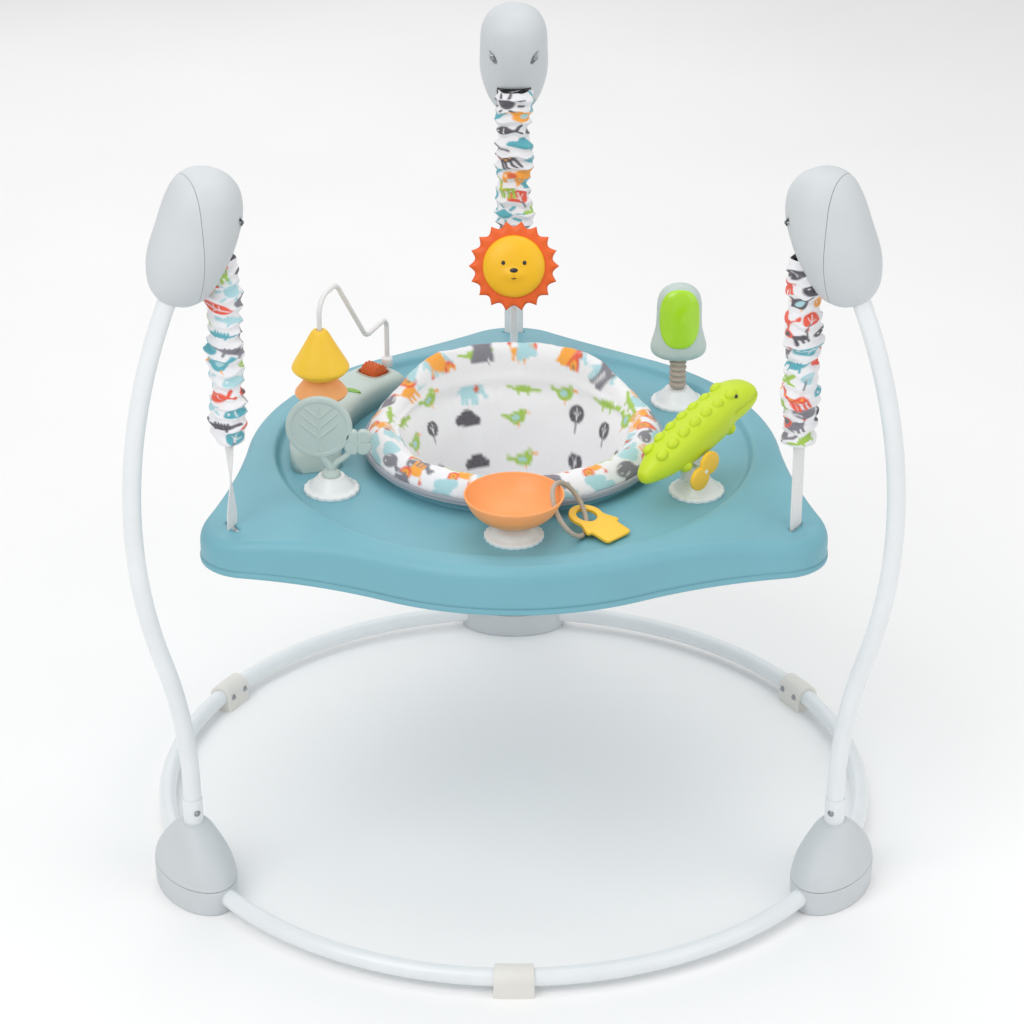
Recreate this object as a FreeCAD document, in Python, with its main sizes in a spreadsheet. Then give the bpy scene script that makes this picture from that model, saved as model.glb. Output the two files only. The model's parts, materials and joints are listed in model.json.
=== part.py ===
"""Activity jumper: a round steel floor frame with three bowed legs, whose padded heads hang a bouncing
play tray on springs. A fabric seat turns in the middle of the tray, and moving toys stand around it.

Every master is drawn at azimuth zero, with +X pointing away from the frame's axis, +Y along the floor
ring and +Z up, and is then turned about that axis to its station. Lengths are millimetres and turns
are degrees. The origin is under the middle of the whole object, on the floor.
"""
import FreeCAD
import Part
import math
import os
import re
import Sketcher

from FreeCAD import Placement, Rotation, Vector

DOCUMENT = FreeCAD.newDocument("ActivityJumper")
UP = (0, 0, 1)
TANGENT = (0, 1, 0)
OUTWARD = (1, 0, 0)

# Stations of the legs, and of the couplers halfway between them, around the frame's axis.
LEG_STATIONS = {"left": 210, "right": 330, "rear": 90}
COUPLER_STATIONS = {"front": 270, "right": 30, "left": 150}
SCREW_SIDES = {"left": 1, "right": -1, "rear": 1}
FLOOR_TUBES = {
    "floor_tube_front_left": (210, 1),
    "floor_tube_front_right": (330, -1),
    "floor_tube_right_front": (330, 1),
    "floor_tube_right_rear": (90, -1),
    "floor_tube_left_rear": (90, 1),
    "floor_tube_left_front": (210, -1),
}

# Elliptical sections of the moulded covers: height, distance from the axis, half depth, half width.
SECTIONS = {
    "foot": {
        "floor": (0, 455, 43, 72),
        "seam": (32, 455, 45, 74),
        "shoulder": (60, 455, 37, 57),
        "neck": (86, 455, 25, 33),
        "collar": (97, 455, 18, 20),
    },
    "head": {
        "toe": (779, 431, 8, 8),
        "sole": (790, 432, 30, 24),
        "jaw": (811, 430, 43, 36),
        "cheek": (843, 420, 52, 44),
        "temple": (878, 409, 51, 44),
        "brow": (908, 405.5, 40.5, 40),
        "crown": (927, 406, 26, 26),
        "tip": (938, 408, 8, 8),
    },
}

SIZES = {
    # floor ring and its couplers
    "ring_radius": 450,
    "tube_od": 22,
    "tube_wall": 1.2,
    "tube_height": 20,
    "tube_foot_gap": 20,
    "tube_joint_gap": 2,
    "coupler_length": 47,
    "coupler_width": 32,
    "coupler_round": 2,
    "slip_gap": 0.15,
    # feet, leg sockets and legs
    "cover_wall": 3,
    "cover_gap": 0.3,
    "foot_plate": 5,
    "saddle_length": 104,
    "saddle_width": 28,
    "leg_foot": 455,
    "socket_od": 24.5,
    "socket_bottom": 8,
    "socket_top": 130,
    "leg_bottom": 30,
    "leg_straight_top": 140,
    "leg_lower_bend": 645,
    "leg_upper_bend": 650,
    "leg_bend_turn": 17,
    "leg_top_turn": 29,
    "leg_end_gap": 1,
    "screw_height": 113,
    "screw_shank": 4,
    "screw_head": 8.5,
    "screw_head_rise": 2.6,
    "screw_length": 7,
    "screw_sink": 1,
    "coupler_screw_step": 14,
    # heads, anchor pins, springs and straps
    "head_split": 424,
    "head_split_gap": 0.3,
    "head_mouth_width": 46,
    "head_mouth_depth": 34,
    "head_mouth_top": 834,
    "boss_wall": 3.5,
    "boss_bottom": 806,
    "head_screw_height": 876,
    "head_screw_offset": 27,
    "hanger_radius": 385,
    "pin_height": 850,
    "pin_od": 6,
    "pin_length": 52,
    "lug_offset": 20,
    "lug_thick": 4,
    "lug_reach": 20,
    "spring_wire": 3,
    "spring_radius": 8,
    "spring_eye": 7,
    "spring_bottom": 652,
    "spring_pitch": 9,
    "sleeve_top": 824,
    "sleeve_bottom": 600,
    "sleeve_width": 40,
    "sleeve_depth": 27,
    "sleeve_wall": 2,
    "web_width": 25,
    "web_thick": 1.8,
    "web_top": 644,
    "web_hole": 8,
    # play tray
    "tray_bottom": 440,
    "tray_body": 332,
    "tray_lobe_centre": 362,
    "tray_lobe_round": 60,
    "tray_blend": 600,
    "tray_wall": 3,
    "tray_lip_height": 500,
    "tray_lip_radius": 304,
    "tray_slope_rise": 19,
    "tray_slope_run": 100,
    "tray_edge_round": 17,
    "well_height": 491,
    "well_floor_radius": 290,
    "well_top_radius": 297,
    "slot_length": 30,
    "slot_width": 6,
    "bar_height": 473,
    "bar_length": 44,
    "bar_width": 10,
    "bar_thick": 4,
    # seat ring and seat
    "hole_radius": 166,
    "collar_wall": 6,
    "collar_top": 500,
    "collar_bottom": 480,
    "turn_gap": 0.5,
    "neck_wall": 5,
    "flange_radius": 186,
    "flange_bottom": 504,
    "flange_thick": 7,
    "hook_height": 474,
    "hook_thick": 4,
    "hook_reach": 171,
    "hook_turn": 24,
    "glide_width": 4,
    "glide_turn": 5,
    "seat_gap": 0.3,
    "seat_depth": 270,
    "seat_wall": 7,
    "leg_hole_radius": 47,
    "leg_hole_offset": 62,
    "leg_hole_height": 345,
    "back_height": 556,
    "back_radius": 169,
    "back_thick": 13,
    "back_turn": 76,
    # snap-in toy bases
    "base_radius": 34,
    "base_rim": 4,
    "base_height": 20,
    "base_top_radius": 15,
    "base_dome": 30,
    "peg_radius": 7.5,
    "peg_hole_radius": 8,
    "peg_length": 7,
    "tree_radius": 245,
    "tree_azimuth": 206,
    "bird_radius": 255,
    "bird_azimuth": 35,
    "croc_radius": 247,
    "croc_azimuth": 333,
    "bowl_radius": 231,
    "bowl_azimuth": 270,
    "toy_gap": 0.3,
    # tree toy
    "leaf_radius": 40,
    "leaf_thick": 8,
    "leaf_height": 84,
    "leaf_offset": -13,
    "leaf_lean": 12,
    "sprig_radius": 9,
    "sprig_spread": 10,
    "sprig_height": 64,
    "sprig_offset": 33,
    "stem_radius": 4.5,
    # bead hill: platform, wire, cones and roller
    "hill_inner": 214,
    "hill_outer": 277,
    "hill_top": 524,
    "hill_round": 14,
    "hill_start": 128,
    "hill_turn": 66,
    "wire_radius": 3.2,
    "wire_x": -237,
    "wire_y": 8,
    "wire_turn": 68,
    "wire_top": 692,
    "wire_crest": 50,
    "wire_dip": 134,
    "wire_dip_height": 589,
    "wire_end": 197,
    "wire_crest_bend": 24,
    "wire_dip_bend": 22,
    "wire_end_bend": 13,
    "wire_foot": 515,
    "post_radius": 12,
    "post_top": 562,
    "bead_gap": 0.9,
    "peach_radius": 33,
    "peach_height": 27,
    "peach_top_radius": 17,
    "yellow_radius": 36,
    "yellow_height": 62,
    "yellow_top_radius": 8,
    "yellow_skirt": 14,
    "bead_lift": 8,
    "roller_azimuth": 137,
    "roller_centre": 246,
    "roller_height": 522,
    "roller_radius": 14,
    "roller_length": 30,
    "roller_pocket_gap": 2,
    "axle_radius": 2.5,
    "axle_length": 38,
    "sprout_azimuth": 152,
    "sprout_centre": 232,
    "sprout_length": 26,
    "sprout_width": 9,
    "sprout_thick": 3,
    # lion on its stalk
    "stalk_radius": 5,
    "stalk_base": 264,
    "stalk_knee": 560,
    "stalk_knee_shift": 5,
    "lion_distance": 216,
    "lion_height": 650,
    "lion_tilt": 18,
    "mane_radius": 50,
    "mane_thick": 12,
    "mane_tuft": 7.5,
    "mane_tufts": 18,
    "face_radius": 40,
    "face_thick": 14,
    "face_flat": 4,
    "spindle_radius": 4,
    "spindle_gap": 0.05,
    # bird on its ribbed neck
    "neck_radius": 8,
    "neck_rib": 11,
    "neck_pitch": 10,
    "neck_height": 40,
    "neck_foot": 3,
    "rock_gap": 1,
    "panel_thick": 4,
    # rocking crocodile and its spinner
    "croc_length": 196,
    "croc_lift": 79,
    "croc_side": 4,
    "croc_heading": 43,
    "croc_pitch": 19,
    "bridge_width": 8,
    "bridge_length": 28,
    "bridge_shift": -6,
    "bridge_height": 26,
    "tongue_length": 12,
    "pivot_height": 64,
    "pivot_radius": 2.5,
    "pivot_gap": 0.05,
    "pivot_length": 30,
    "pocket_length": 36,
    "pocket_gap": 1.5,
    "disc_radius": 12.5,
    "disc_spread": 8,
    "disc_thick": 7,
    "disc_shift": -16,
    "disc_side": 24,
    "disc_height": 43,
    # bowl, ring and tag
    "cup_radius": 59,
    "cup_height": 36,
    "cup_wall": 3,
    "cup_foot": 24,
    "cup_belly": 44,
    "cup_hole_radius": 12.5,
    "cup_hole_turn": -14,
    "cup_hole_height": 22,
    "link_radius": 34,
    "link_wire": 3.1,
    "link_azimuth": -17,
    "link_lean": 33,
    "link_x": 65,
    "link_y": 7,
    "tag_length": 46,
    "tag_half_width": 26,
    "tag_round": 21,
    "tag_thick": 4.6,
    "tag_hole": 13,
    "tag_x": 85,
    "tag_y": 27,
    "tag_rise": 11,
    "tag_tilt": 10,
    "tag_heading": -44,
}
for cover, sections in SECTIONS.items():
    for level, numbers in sections.items():
        for aspect, number in zip(("height", "centre", "depth", "width"), numbers):
            SIZES[f"{cover}_{level}_{aspect}"] = number

SHEET = DOCUMENT.addObject("Spreadsheet::Sheet", "Sizes")
for row, (alias, number) in enumerate(SIZES.items(), start=1):
    SHEET.set(f"A{row}", alias)
    SHEET.set(f"B{row}", str(number))
    SHEET.setAlias(f"B{row}", alias)
DOCUMENT.recompute()

# Derived sizes, written once as expressions of the sheet.
LEG_BULGE = "(leg_foot + (leg_lower_bend + leg_upper_bend) * (1 - cos(leg_bend_turn)))"
AXIS_SHIFT = f"((ring_radius + coupler_width / 2) - ({LEG_BULGE} + tube_od / 2)) / 2"
NECK_RADIUS = "(hole_radius - turn_gap)"
BEAD_BORE = "(wire_radius + bead_gap)"
HEAD_SCREW_SEAT = ("(head_temple_centre - head_temple_depth"
                   " * sqrt(1 - pow(head_screw_offset / head_temple_width; 2)) + screw_sink)")
PARTS = {}


def in_sheet(text):
    """Point every size's name in an expression at the sheet."""
    return re.sub(r"[a-z][a-z_]*", lambda word: f"Sizes.{word[0]}" if word[0] in SIZES else word[0], str(text))


def value(text):
    """Work out an expression's number from the sheet."""
    answer = SHEET.evalExpression(in_sheet(text))
    return float(getattr(answer, "Value", answer))


def bind(thing, **sizes):
    """Bind an object's properties to expressions of the sheet."""
    for name, text in sizes.items():
        thing.setExpression(name, in_sheet(text))
    return thing


def put(thing, x="0", y="0", z="0", axis=UP, turn="0"):
    """Place an object by expressions of the sheet, turned about an axis."""
    base = Vector(value(x), value(y), value(z))
    thing.Placement = Placement(base, Rotation(Vector(*axis), value(turn)))
    for side, text in zip("xyz", (x, y, z)):
        thing.setExpression(f"Placement.Base.{side}", in_sheet(text))
    return thing


def make(kind, name, **sizes):
    """Make a Part primitive with its sizes bound to the sheet."""
    return bind(DOCUMENT.addObject(f"Part::{kind}", name), **sizes)


def cylinder(name, radius, height, **place):
    """Make a round bar that stands on its placement."""
    return put(make("Cylinder", name, Radius=radius, Height=height), **place)


def block(name, length, width, height, x="0", y="0", z="0"):
    """Make a box centred in X and Y about a point, standing on its height."""
    solid = make("Box", name, Length=length, Width=width, Height=height)
    return put(solid, x=f"({x}) - ({length}) / 2", y=f"({y}) - ({width}) / 2", z=z)


def fuse(name, *things):
    """Join solids into one."""
    joined = DOCUMENT.addObject("Part::MultiFuse", name)
    joined.Shapes = list(things)
    return joined


def common(name, *things):
    """Keep what solids share."""
    shared = DOCUMENT.addObject("Part::MultiCommon", name)
    shared.Shapes = list(things)
    return shared


def cut(name, base, *tools):
    """Take tools away from a solid."""
    result = DOCUMENT.addObject("Part::Cut", name)
    result.Base = base
    result.Tool = tools[0] if len(tools) == 1 else fuse(f"{name}_tools", *tools)
    return result


def group(name, *things):
    """Hold identical solids as one node."""
    bundle = DOCUMENT.addObject("Part::Compound", name)
    bundle.Links = list(things)
    return bundle


def loft(name, sections, inset="0", shrink_ends=True):
    """Skin elliptical sections, given as height, centre, half depth and half width expressions."""
    rings = []
    last = len(sections) - 1
    for index, (height, centre, depth, width) in enumerate(sections):
        level = height
        if shrink_ends and index == 0:
            level = f"{height} + {inset}"
        elif shrink_ends and index == last:
            level = f"{height} - {inset}"
        ring = DOCUMENT.addObject("Part::Ellipse", f"{name}_section_{index}")
        along = value(depth) >= value(width)
        major, minor = (depth, width) if along else (width, depth)
        bind(ring, MajorRadius=f"{major} - {inset}", MinorRadius=f"{minor} - {inset}")
        rings.append(put(ring, x=centre, z=level, turn="0" if along else "90"))
    skin = DOCUMENT.addObject("Part::Loft", name)
    skin.Sections = rings
    skin.Solid = True
    return skin


def cover_sections(cover):
    """List a cover's sections as expressions."""
    aspects = ("height", "centre", "depth", "width")
    return [tuple(f"{cover}_{level}_{aspect}" for aspect in aspects) for level in SECTIONS[cover]]


def new_body(name):
    """Start a PartDesign body."""
    return DOCUMENT.addObject("PartDesign::Body", name)


def add_sketch(body, name, role="XZ_Plane", offset=None):
    """Add a sketch on one of the body's own origin planes, lifted along its normal."""
    plane = next(item for item in body.Origin.OriginFeatures if item.Role == role)
    sketch = body.newObject("Sketcher::SketchObject", name)
    sketch.AttachmentSupport = [(plane, "")]
    sketch.MapMode = "FlatFace"
    if offset is not None:
        sketch.setExpression("AttachmentOffset.Base.z", in_sheet(offset))
    return sketch


def bowed(start, finish, radius):
    """Return an arc between two points that bows to the right of the way along it."""
    chord = finish - start
    right = Vector(chord.y, -chord.x, 0).normalize()
    rise = abs(radius) - math.sqrt(radius ** 2 - (chord.Length / 2) ** 2)
    middle = (start + finish) / 2 + right * math.copysign(rise, radius)
    return Part.Arc(start, middle, finish)


def pin_point(sketch, edge, end, corner):
    """Hold a point of a sketch at expressions of the sheet."""
    for kind, text, axis in zip(("DistanceX", "DistanceY"), corner, (-2, -1)):
        number = value(text)
        if abs(number) < 1e-9:
            sketch.addConstraint(Sketcher.Constraint("PointOnObject", edge, end, axis))
            continue
        index = sketch.addConstraint(Sketcher.Constraint(kind, -1, 1, edge, end, number))
        sketch.setExpression(f"Constraints[{index}]", in_sheet(text))


def draw(sketch, corners, closed=True):
    """Draw lines, and arcs where a corner names a radius, through corners bound to the sheet."""
    points = [Vector(value(corner[0]), value(corner[1]), 0) for corner in corners]
    ends = []
    for index in range(len(corners) if closed else len(corners) - 1):
        start = points[index]
        finish = points[(index + 1) % len(points)]
        is_arc = len(corners[index]) == 3
        curve = bowed(start, finish, value(corners[index][2])) if is_arc else Part.LineSegment(start, finish)
        edge = sketch.addGeometry(curve)
        first = min((1, 2), key=lambda end: sketch.getPoint(edge, end).distanceToPoint(start))
        ends.append((edge, first, 3 - first, is_arc))
    for index, (edge, first, last, is_arc) in enumerate(ends):
        if closed or index + 1 < len(ends):
            following = ends[(index + 1) % len(ends)]
            sketch.addConstraint(Sketcher.Constraint("Coincident", edge, last, following[0], following[1]))
        pin_point(sketch, edge, first, corners[index][:2])
        if is_arc:
            radius = f"abs({corners[index][2]})"
            held = sketch.addConstraint(Sketcher.Constraint("Radius", edge, value(radius)))
            sketch.setExpression(f"Constraints[{held}]", in_sheet(radius))
    if not closed:
        pin_point(sketch, ends[-1][0], ends[-1][2], corners[-1][:2])
    return sketch


def circle(sketch, x, y, radius):
    """Draw a circle bound to the sheet."""
    centre = Vector(value(x), value(y), 0)
    edge = sketch.addGeometry(Part.Circle(centre, Vector(*UP), value(radius)))
    pin_point(sketch, edge, 3, (x, y))
    index = sketch.addConstraint(Sketcher.Constraint("Radius", edge, value(radius)))
    sketch.setExpression(f"Constraints[{index}]", in_sheet(radius))
    return sketch


def spin(body, sketch, turn=None, kind="Revolution"):
    """Turn a sketch about its vertical axis, right round or by an expression."""
    feature = body.newObject(f"PartDesign::{kind}", f"{body.Name}_{kind}")
    feature.Profile = sketch
    feature.ReferenceAxis = (sketch, ["V_Axis"])
    feature.Angle = 360
    if turn is not None:
        feature.setExpression("Angle", in_sheet(turn))
    return feature


def turned(name, corners, turn=None):
    """Make a body by turning one closed outline of radius and height."""
    body = new_body(name)
    spin(body, draw(add_sketch(body, f"{name}_outline"), corners), turn)
    return body


def pushed(name, corners, length, role="XY_Plane", offset=None):
    """Make a body by padding one closed outline."""
    body = new_body(name)
    feature = body.newObject("PartDesign::Pad", f"{name}_pad")
    feature.Profile = draw(add_sketch(body, f"{name}_outline", role, offset), corners)
    bind(feature, Length=length)
    return body


def piped(name, corners, radius, wall=None, foot=None):
    """Make a round bar or tube along a path in the XZ plane that starts straight up."""
    body = new_body(name)
    path = draw(add_sketch(body, f"{name}_path"), corners, closed=False)
    profile = add_sketch(body, f"{name}_profile", "XY_Plane", corners[0][1] if foot is None else foot)
    circle(profile, corners[0][0], "0", radius)
    if wall is not None:
        circle(profile, corners[0][0], "0", f"{radius} - {wall}")
    feature = body.newObject("PartDesign::AdditivePipe", f"{name}_pipe")
    feature.Profile = profile
    feature.Spine = path
    return body


def rounded_path(corners):
    """Turn corner points with bend radii, as numbers, into runs and arcs for a path in a plane."""
    runs = [(corners[0][0], corners[0][1])]
    for before, (x, z, bend), after in zip(corners, corners[1:], corners[2:]):
        here = Vector(x, z, 0)
        inward = (Vector(before[0], before[1], 0) - here).normalize()
        onward = (Vector(after[0], after[1], 0) - here).normalize()
        half = inward.getAngle(onward) / 2
        reach = bend / math.tan(half)
        first = here + inward * reach
        last = here + onward * reach
        side = 1 if inward.cross(onward).z < 0 else -1
        runs.append((first.x, first.y, side * bend))
        runs.append((last.x, last.y))
    runs.append((corners[-1][0], corners[-1][1]))
    return runs


def round_edges(body, radius, chosen):
    """Round the edges of a body's tip that a test picks."""
    DOCUMENT.recompute()
    base = body.Tip
    names = [f"Edge{index}" for index, edge in enumerate(base.Shape.Edges, start=1) if chosen(edge)]
    feature = body.newObject("PartDesign::Fillet", f"{body.Name}_round")
    feature.Base = (base, names)
    bind(feature, Radius=radius)
    return body


def keep(thing, node, azimuth=0):
    """File a finished piece under its node's name and turn it to its station."""
    thing.Label = node
    put(thing, y=AXIS_SHIFT, turn=str(azimuth))
    PARTS[node] = thing
    return thing


def keep_toy(thing, node, toy, facing=0, x="0", y="0", z="0"):
    """File a piece of a toy, drawn about its base's centre on the well's floor."""
    thing.Label = node
    east = f"{toy}_radius * cos({toy}_azimuth)"
    north = f"{toy}_radius * sin({toy}_azimuth) + {AXIS_SHIFT}"
    put(thing, x=f"{east} + {x}", y=f"{north} + {y}", z=f"well_height + {z}", turn=str(facing))
    PARTS[node] = thing
    return thing


def ring_tool(name, gap="slip_gap"):
    """Make the space that a floor tube takes, with clearance, as a full ring."""
    tool = make("Torus", name, Radius1="ring_radius", Radius2=f"tube_od / 2 + {gap}")
    return put(tool, z="tube_height")


def make_floor_ring():
    """Make the six half arcs of floor tube and the couplers that join them."""
    for node, (station, side) in FLOOR_TUBES.items():
        body = new_body(node)
        sketch = add_sketch(body, f"{node}_section")
        circle(sketch, "ring_radius", "tube_height", "tube_od / 2")
        circle(sketch, "ring_radius", "tube_height", "tube_od / 2 - tube_wall")
        spin(body, sketch, "60 - (tube_foot_gap + tube_joint_gap / 2) / ring_radius * 180 / pi")
        start = value("tube_foot_gap / ring_radius * 180 / pi")
        middle = 60 - start
        if side < 0:
            start = value("tube_joint_gap / 2 / ring_radius * 180 / pi") - 60
            middle = -60 - start
        hole = coupler_hole(f"{node}_hole", f"{middle} - {side} * coupler_screw_step / ring_radius * 180 / pi")
        keep(cut(f"{node}_drilled", body, hole), node, station + start)
    for name, station in COUPLER_STATIONS.items():
        node = f"floor_coupler_{name}"
        turn = "coupler_length / ring_radius * 180 / pi"
        side = "coupler_width / 2"
        outline = [
            (f"ring_radius - {side}", "0"),
            (f"ring_radius + {side}", "0"),
            (f"ring_radius + {side}", "tube_height", side),
            ("ring_radius", f"tube_height + {side}", side),
            (f"ring_radius - {side}", "tube_height"),
        ]
        block_body = turned(f"{node}_block", outline, turn)
        half = value(turn) / 2
        at_end = (lambda edge: edge.Length < value("4 * coupler_width")
                  and edge.CenterOfMass.z > value("tube_height")
                  and edge.BoundBox.YLength < value("coupler_length / 2"))
        round_edges(block_body, "coupler_round", at_end)
        screws = [coupler_hole(f"{node}_screw_hole", f"{half} + {step} * coupler_screw_step / ring_radius * 180 / pi")
                  for step in (-1, 1)]
        keep(cut(f"{node}_bored", block_body, ring_tool(f"{node}_bore"), *screws), node, station - half)


def coupler_hole(name, turn):
    """Make the clearance hole of one coupler screw, through the inner side of coupler and tube."""
    hole = cylinder(name, "screw_shank / 2 + slip_gap", "coupler_width / 2 - tube_od / 4",
                    x="ring_radius - coupler_width / 2 - 1", z="tube_height", axis=TANGENT, turn="90")
    return put(group(f"{name}_at", hole), turn=turn)


def make_feet():
    """Make the foot covers, the bases inside them and the steel leg sockets."""
    bases = []
    sockets = []
    for name, station in LEG_STATIONS.items():
        node = f"foot_cover_{name}"
        sections = cover_sections("foot")
        outer = loft(f"{node}_outer", sections)
        opened = [(f"{height} - {drop}", centre, depth, width)
                  for (height, centre, depth, width), drop in zip(sections, (1, 0, 0, 0, "cover_wall"))]
        inner = loft(f"{node}_inner", opened, "cover_wall", shrink_ends=False)
        mouth = cylinder(f"{node}_mouth", "socket_od / 2 + cover_gap", "foot_collar_height", x="leg_foot", z="60")
        shell = cut(f"{node}_shell", outer, inner, mouth, ring_tool(f"{node}_bore", "cover_gap"))
        keep(shell, node, station)

        floor = (sections[0][0], *sections[0][1:])
        lid = ("foot_plate", *sections[0][1:])
        plate = loft(f"foot_plate_{name}", [floor, lid], "(cover_wall + cover_gap)", shrink_ends=False)
        saddle = block(f"saddle_{name}", "saddle_width", "saddle_length", "tube_height", x="leg_foot")
        pocket = cylinder(f"socket_pocket_{name}", "socket_od / 2 + slip_gap", "tube_height", x="leg_foot",
                          z="socket_bottom")
        base = cut(f"foot_base_{name}", fuse(f"foot_block_{name}", plate, saddle), pocket,
                   ring_tool(f"saddle_bore_{name}"))
        bases.append(put(base, turn=str(station)))

        tube = cylinder(f"socket_tube_{name}", "socket_od / 2", "socket_top - socket_bottom", x="leg_foot",
                        z="socket_bottom")
        bore = cylinder(f"socket_bore_{name}", "tube_od / 2 + slip_gap", "socket_top", x="leg_foot", z="0")
        socket = cut(f"socket_{name}", tube, bore, leg_screw_hole(f"socket_{name}_hole", SCREW_SIDES[name]))
        sockets.append(put(socket, turn=str(station)))
    keep(group("foot_base_set", *bases), "foot_bases")
    keep(group("leg_socket_set", *sockets), "leg_sockets")


def leg_screw_hole(name, side):
    """Make the clearance hole of the screw that holds a leg in its socket."""
    return cylinder(name, "screw_shank / 2 + slip_gap", "socket_od / 2 + 2", x="leg_foot", z="screw_height",
                    axis=OUTWARD, turn=str(-90 * side))


def leg_line(top_turn):
    """List the corners of a leg's line: upright in the foot, out, then in under the head."""
    centre = f"({LEG_BULGE} - leg_upper_bend)"
    middle = "(leg_straight_top + (leg_lower_bend + leg_upper_bend) * sin(leg_bend_turn))"
    return [
        ("leg_foot", "leg_bottom"),
        ("leg_foot", "leg_straight_top", "-leg_lower_bend"),
        (f"{centre} + leg_upper_bend * cos(leg_bend_turn)",
         f"{middle} - leg_upper_bend * sin(leg_bend_turn)", "leg_upper_bend"),
        (f"{centre} + leg_upper_bend * cos({top_turn})", f"{middle} + leg_upper_bend * sin({top_turn})"),
    ]


def make_legs():
    """Make the three bowed leg tubes."""
    for name, station in LEG_STATIONS.items():
        tube = piped(f"leg_pipe_{name}", leg_line("leg_top_turn"), "tube_od / 2", "tube_wall")
        hole = leg_screw_hole(f"leg_{name}_hole", SCREW_SIDES[name])
        keep(cut(f"leg_{name}", tube, hole), f"leg_tube_{name}", station)


def leg_space(name, radius):
    """Make the space that a leg takes up to just past its top end, as a round bar."""
    return piped(name, leg_line("(leg_top_turn + leg_end_gap / leg_upper_bend * 180 / pi)"), radius)


def make_heads():
    """Make each head's outer shell, which takes the leg, and its inner cover, which holds the pin."""
    for name, station in LEG_STATIONS.items():
        whole = loft(f"head_{name}_whole", cover_sections("head"))
        hollow = loft(f"head_{name}_hollow", cover_sections("head"), "cover_wall")
        solid = [loft(f"head_{name}_{use}_limit", cover_sections("head"), "cover_wall / 2") for use in ("boss", "ear")]
        mouth = block(f"head_{name}_mouth", "head_mouth_depth", "head_mouth_width", "head_mouth_top - 760",
                      x="hanger_radius - 2", z="760")
        bore = leg_space(f"head_{name}_bore", "tube_od / 2 + slip_gap")
        shell = cut(f"head_{name}_walls", whole, hollow, mouth, bore)
        halves = {}
        for half, edge in (("shell", "head_split"), ("cover", "head_split - head_split_gap - 200")):
            side = put(make("Box", f"head_{name}_{half}_side", Length="200", Width="200", Height="300"),
                       x=edge, y="-100", z="700")
            halves[half] = common(f"head_{name}_{half}_half", shell, side)
        bottom = block(f"head_{name}_boss_floor", "90", "60", "80", x="head_split + 45", z="boss_bottom - 40")
        post = leg_space(f"head_{name}_post", "tube_od / 2 + boss_wall")
        boss = common(f"head_{name}_boss", cut(f"head_{name}_sleeve", post, bore), solid[0], bottom)
        keep(fuse(f"head_{name}_outer", halves["shell"], boss), f"head_shell_{name}", station)

        lugs = []
        for side in (-1, 1):
            lugs.append(block(f"head_{name}_lug", "lug_reach + 30", "lug_thick", "lug_reach",
                              x="hanger_radius - 15", y=f"{side} * lug_offset",
                              z="pin_height - lug_reach / 2"))
        ears = common(f"head_{name}_ears", fuse(f"head_{name}_lugs", *lugs), solid[1])
        eye = cylinder(f"head_{name}_pin_hole", "pin_od / 2 + slip_gap", "80", x="hanger_radius", y="40",
                       z="pin_height", axis=OUTWARD, turn="90")
        recesses = [recess(f"head_{name}_recess", side) for side in (-1, 1)]
        inner = cut(f"head_{name}_inner", fuse(f"head_{name}_eared", halves["cover"], ears), eye, *recesses)
        keep(inner, f"head_cover_{name}", station)


def recess(name, side):
    """Make the stepped hole for one of the two screws that close a head."""
    place = {"y": f"{side} * head_screw_offset", "z": "head_screw_height", "axis": TANGENT, "turn": "90"}
    through = cylinder(f"{name}_through", "screw_shank / 2 + slip_gap", "screw_length + 2",
                       x=HEAD_SCREW_SEAT, **place)
    sink = cylinder(f"{name}_sink", "screw_head / 2 + slip_gap", "screw_sink + 20",
                    x=f"{HEAD_SCREW_SEAT} - screw_sink - 20", **place)
    return fuse(name, through, sink)


def screw(name):
    """Make a round-headed screw, its head's seat at its own origin and its shank along +Z."""
    outline = [
        ("0", "screw_length"),
        ("0", "-screw_head_rise"),
        ("screw_head / 4", "-screw_head_rise", "-screw_head / 2"),
        ("screw_head / 2", "0"),
        ("screw_shank / 2", "0"),
        ("screw_shank / 2", "screw_length"),
    ]
    return turned(name, outline)


def make_screws():
    """Make the screws of the legs and couplers, and the two that close each head."""
    frame = []
    for name, station in LEG_STATIONS.items():
        side = SCREW_SIDES[name]
        fixing = put(screw(f"leg_screw_{name}"), x="leg_foot", y=f"{side} * (socket_od / 2 + 0.1)",
                     z="screw_height", axis=OUTWARD, turn=str(90 * side))
        frame.append(put(group(f"leg_screw_{name}_at", fixing), turn=str(station)))
    for name, station in COUPLER_STATIONS.items():
        for step in (-1, 1):
            fixing = put(screw(f"coupler_screw_{name}"), x="ring_radius - coupler_width / 2 - 0.1",
                         z="tube_height", axis=TANGENT, turn="90")
            turn = f"{station} + {step} * coupler_screw_step / ring_radius * 180 / pi"
            frame.append(put(group(f"coupler_screw_{name}_at", fixing), turn=turn))
    keep(group("frame_screw_set", *frame), "frame_screws")

    closing = []
    for name, station in LEG_STATIONS.items():
        for side in (-1, 1):
            fixing = put(screw(f"head_screw_{name}"), x=HEAD_SCREW_SEAT, y=f"{side} * head_screw_offset",
                         z="head_screw_height", axis=TANGENT, turn="90")
            closing.append(put(group(f"head_screw_{name}_at", fixing), turn=str(station)))
    keep(group("head_screw_set", *closing), "head_screws")


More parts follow.
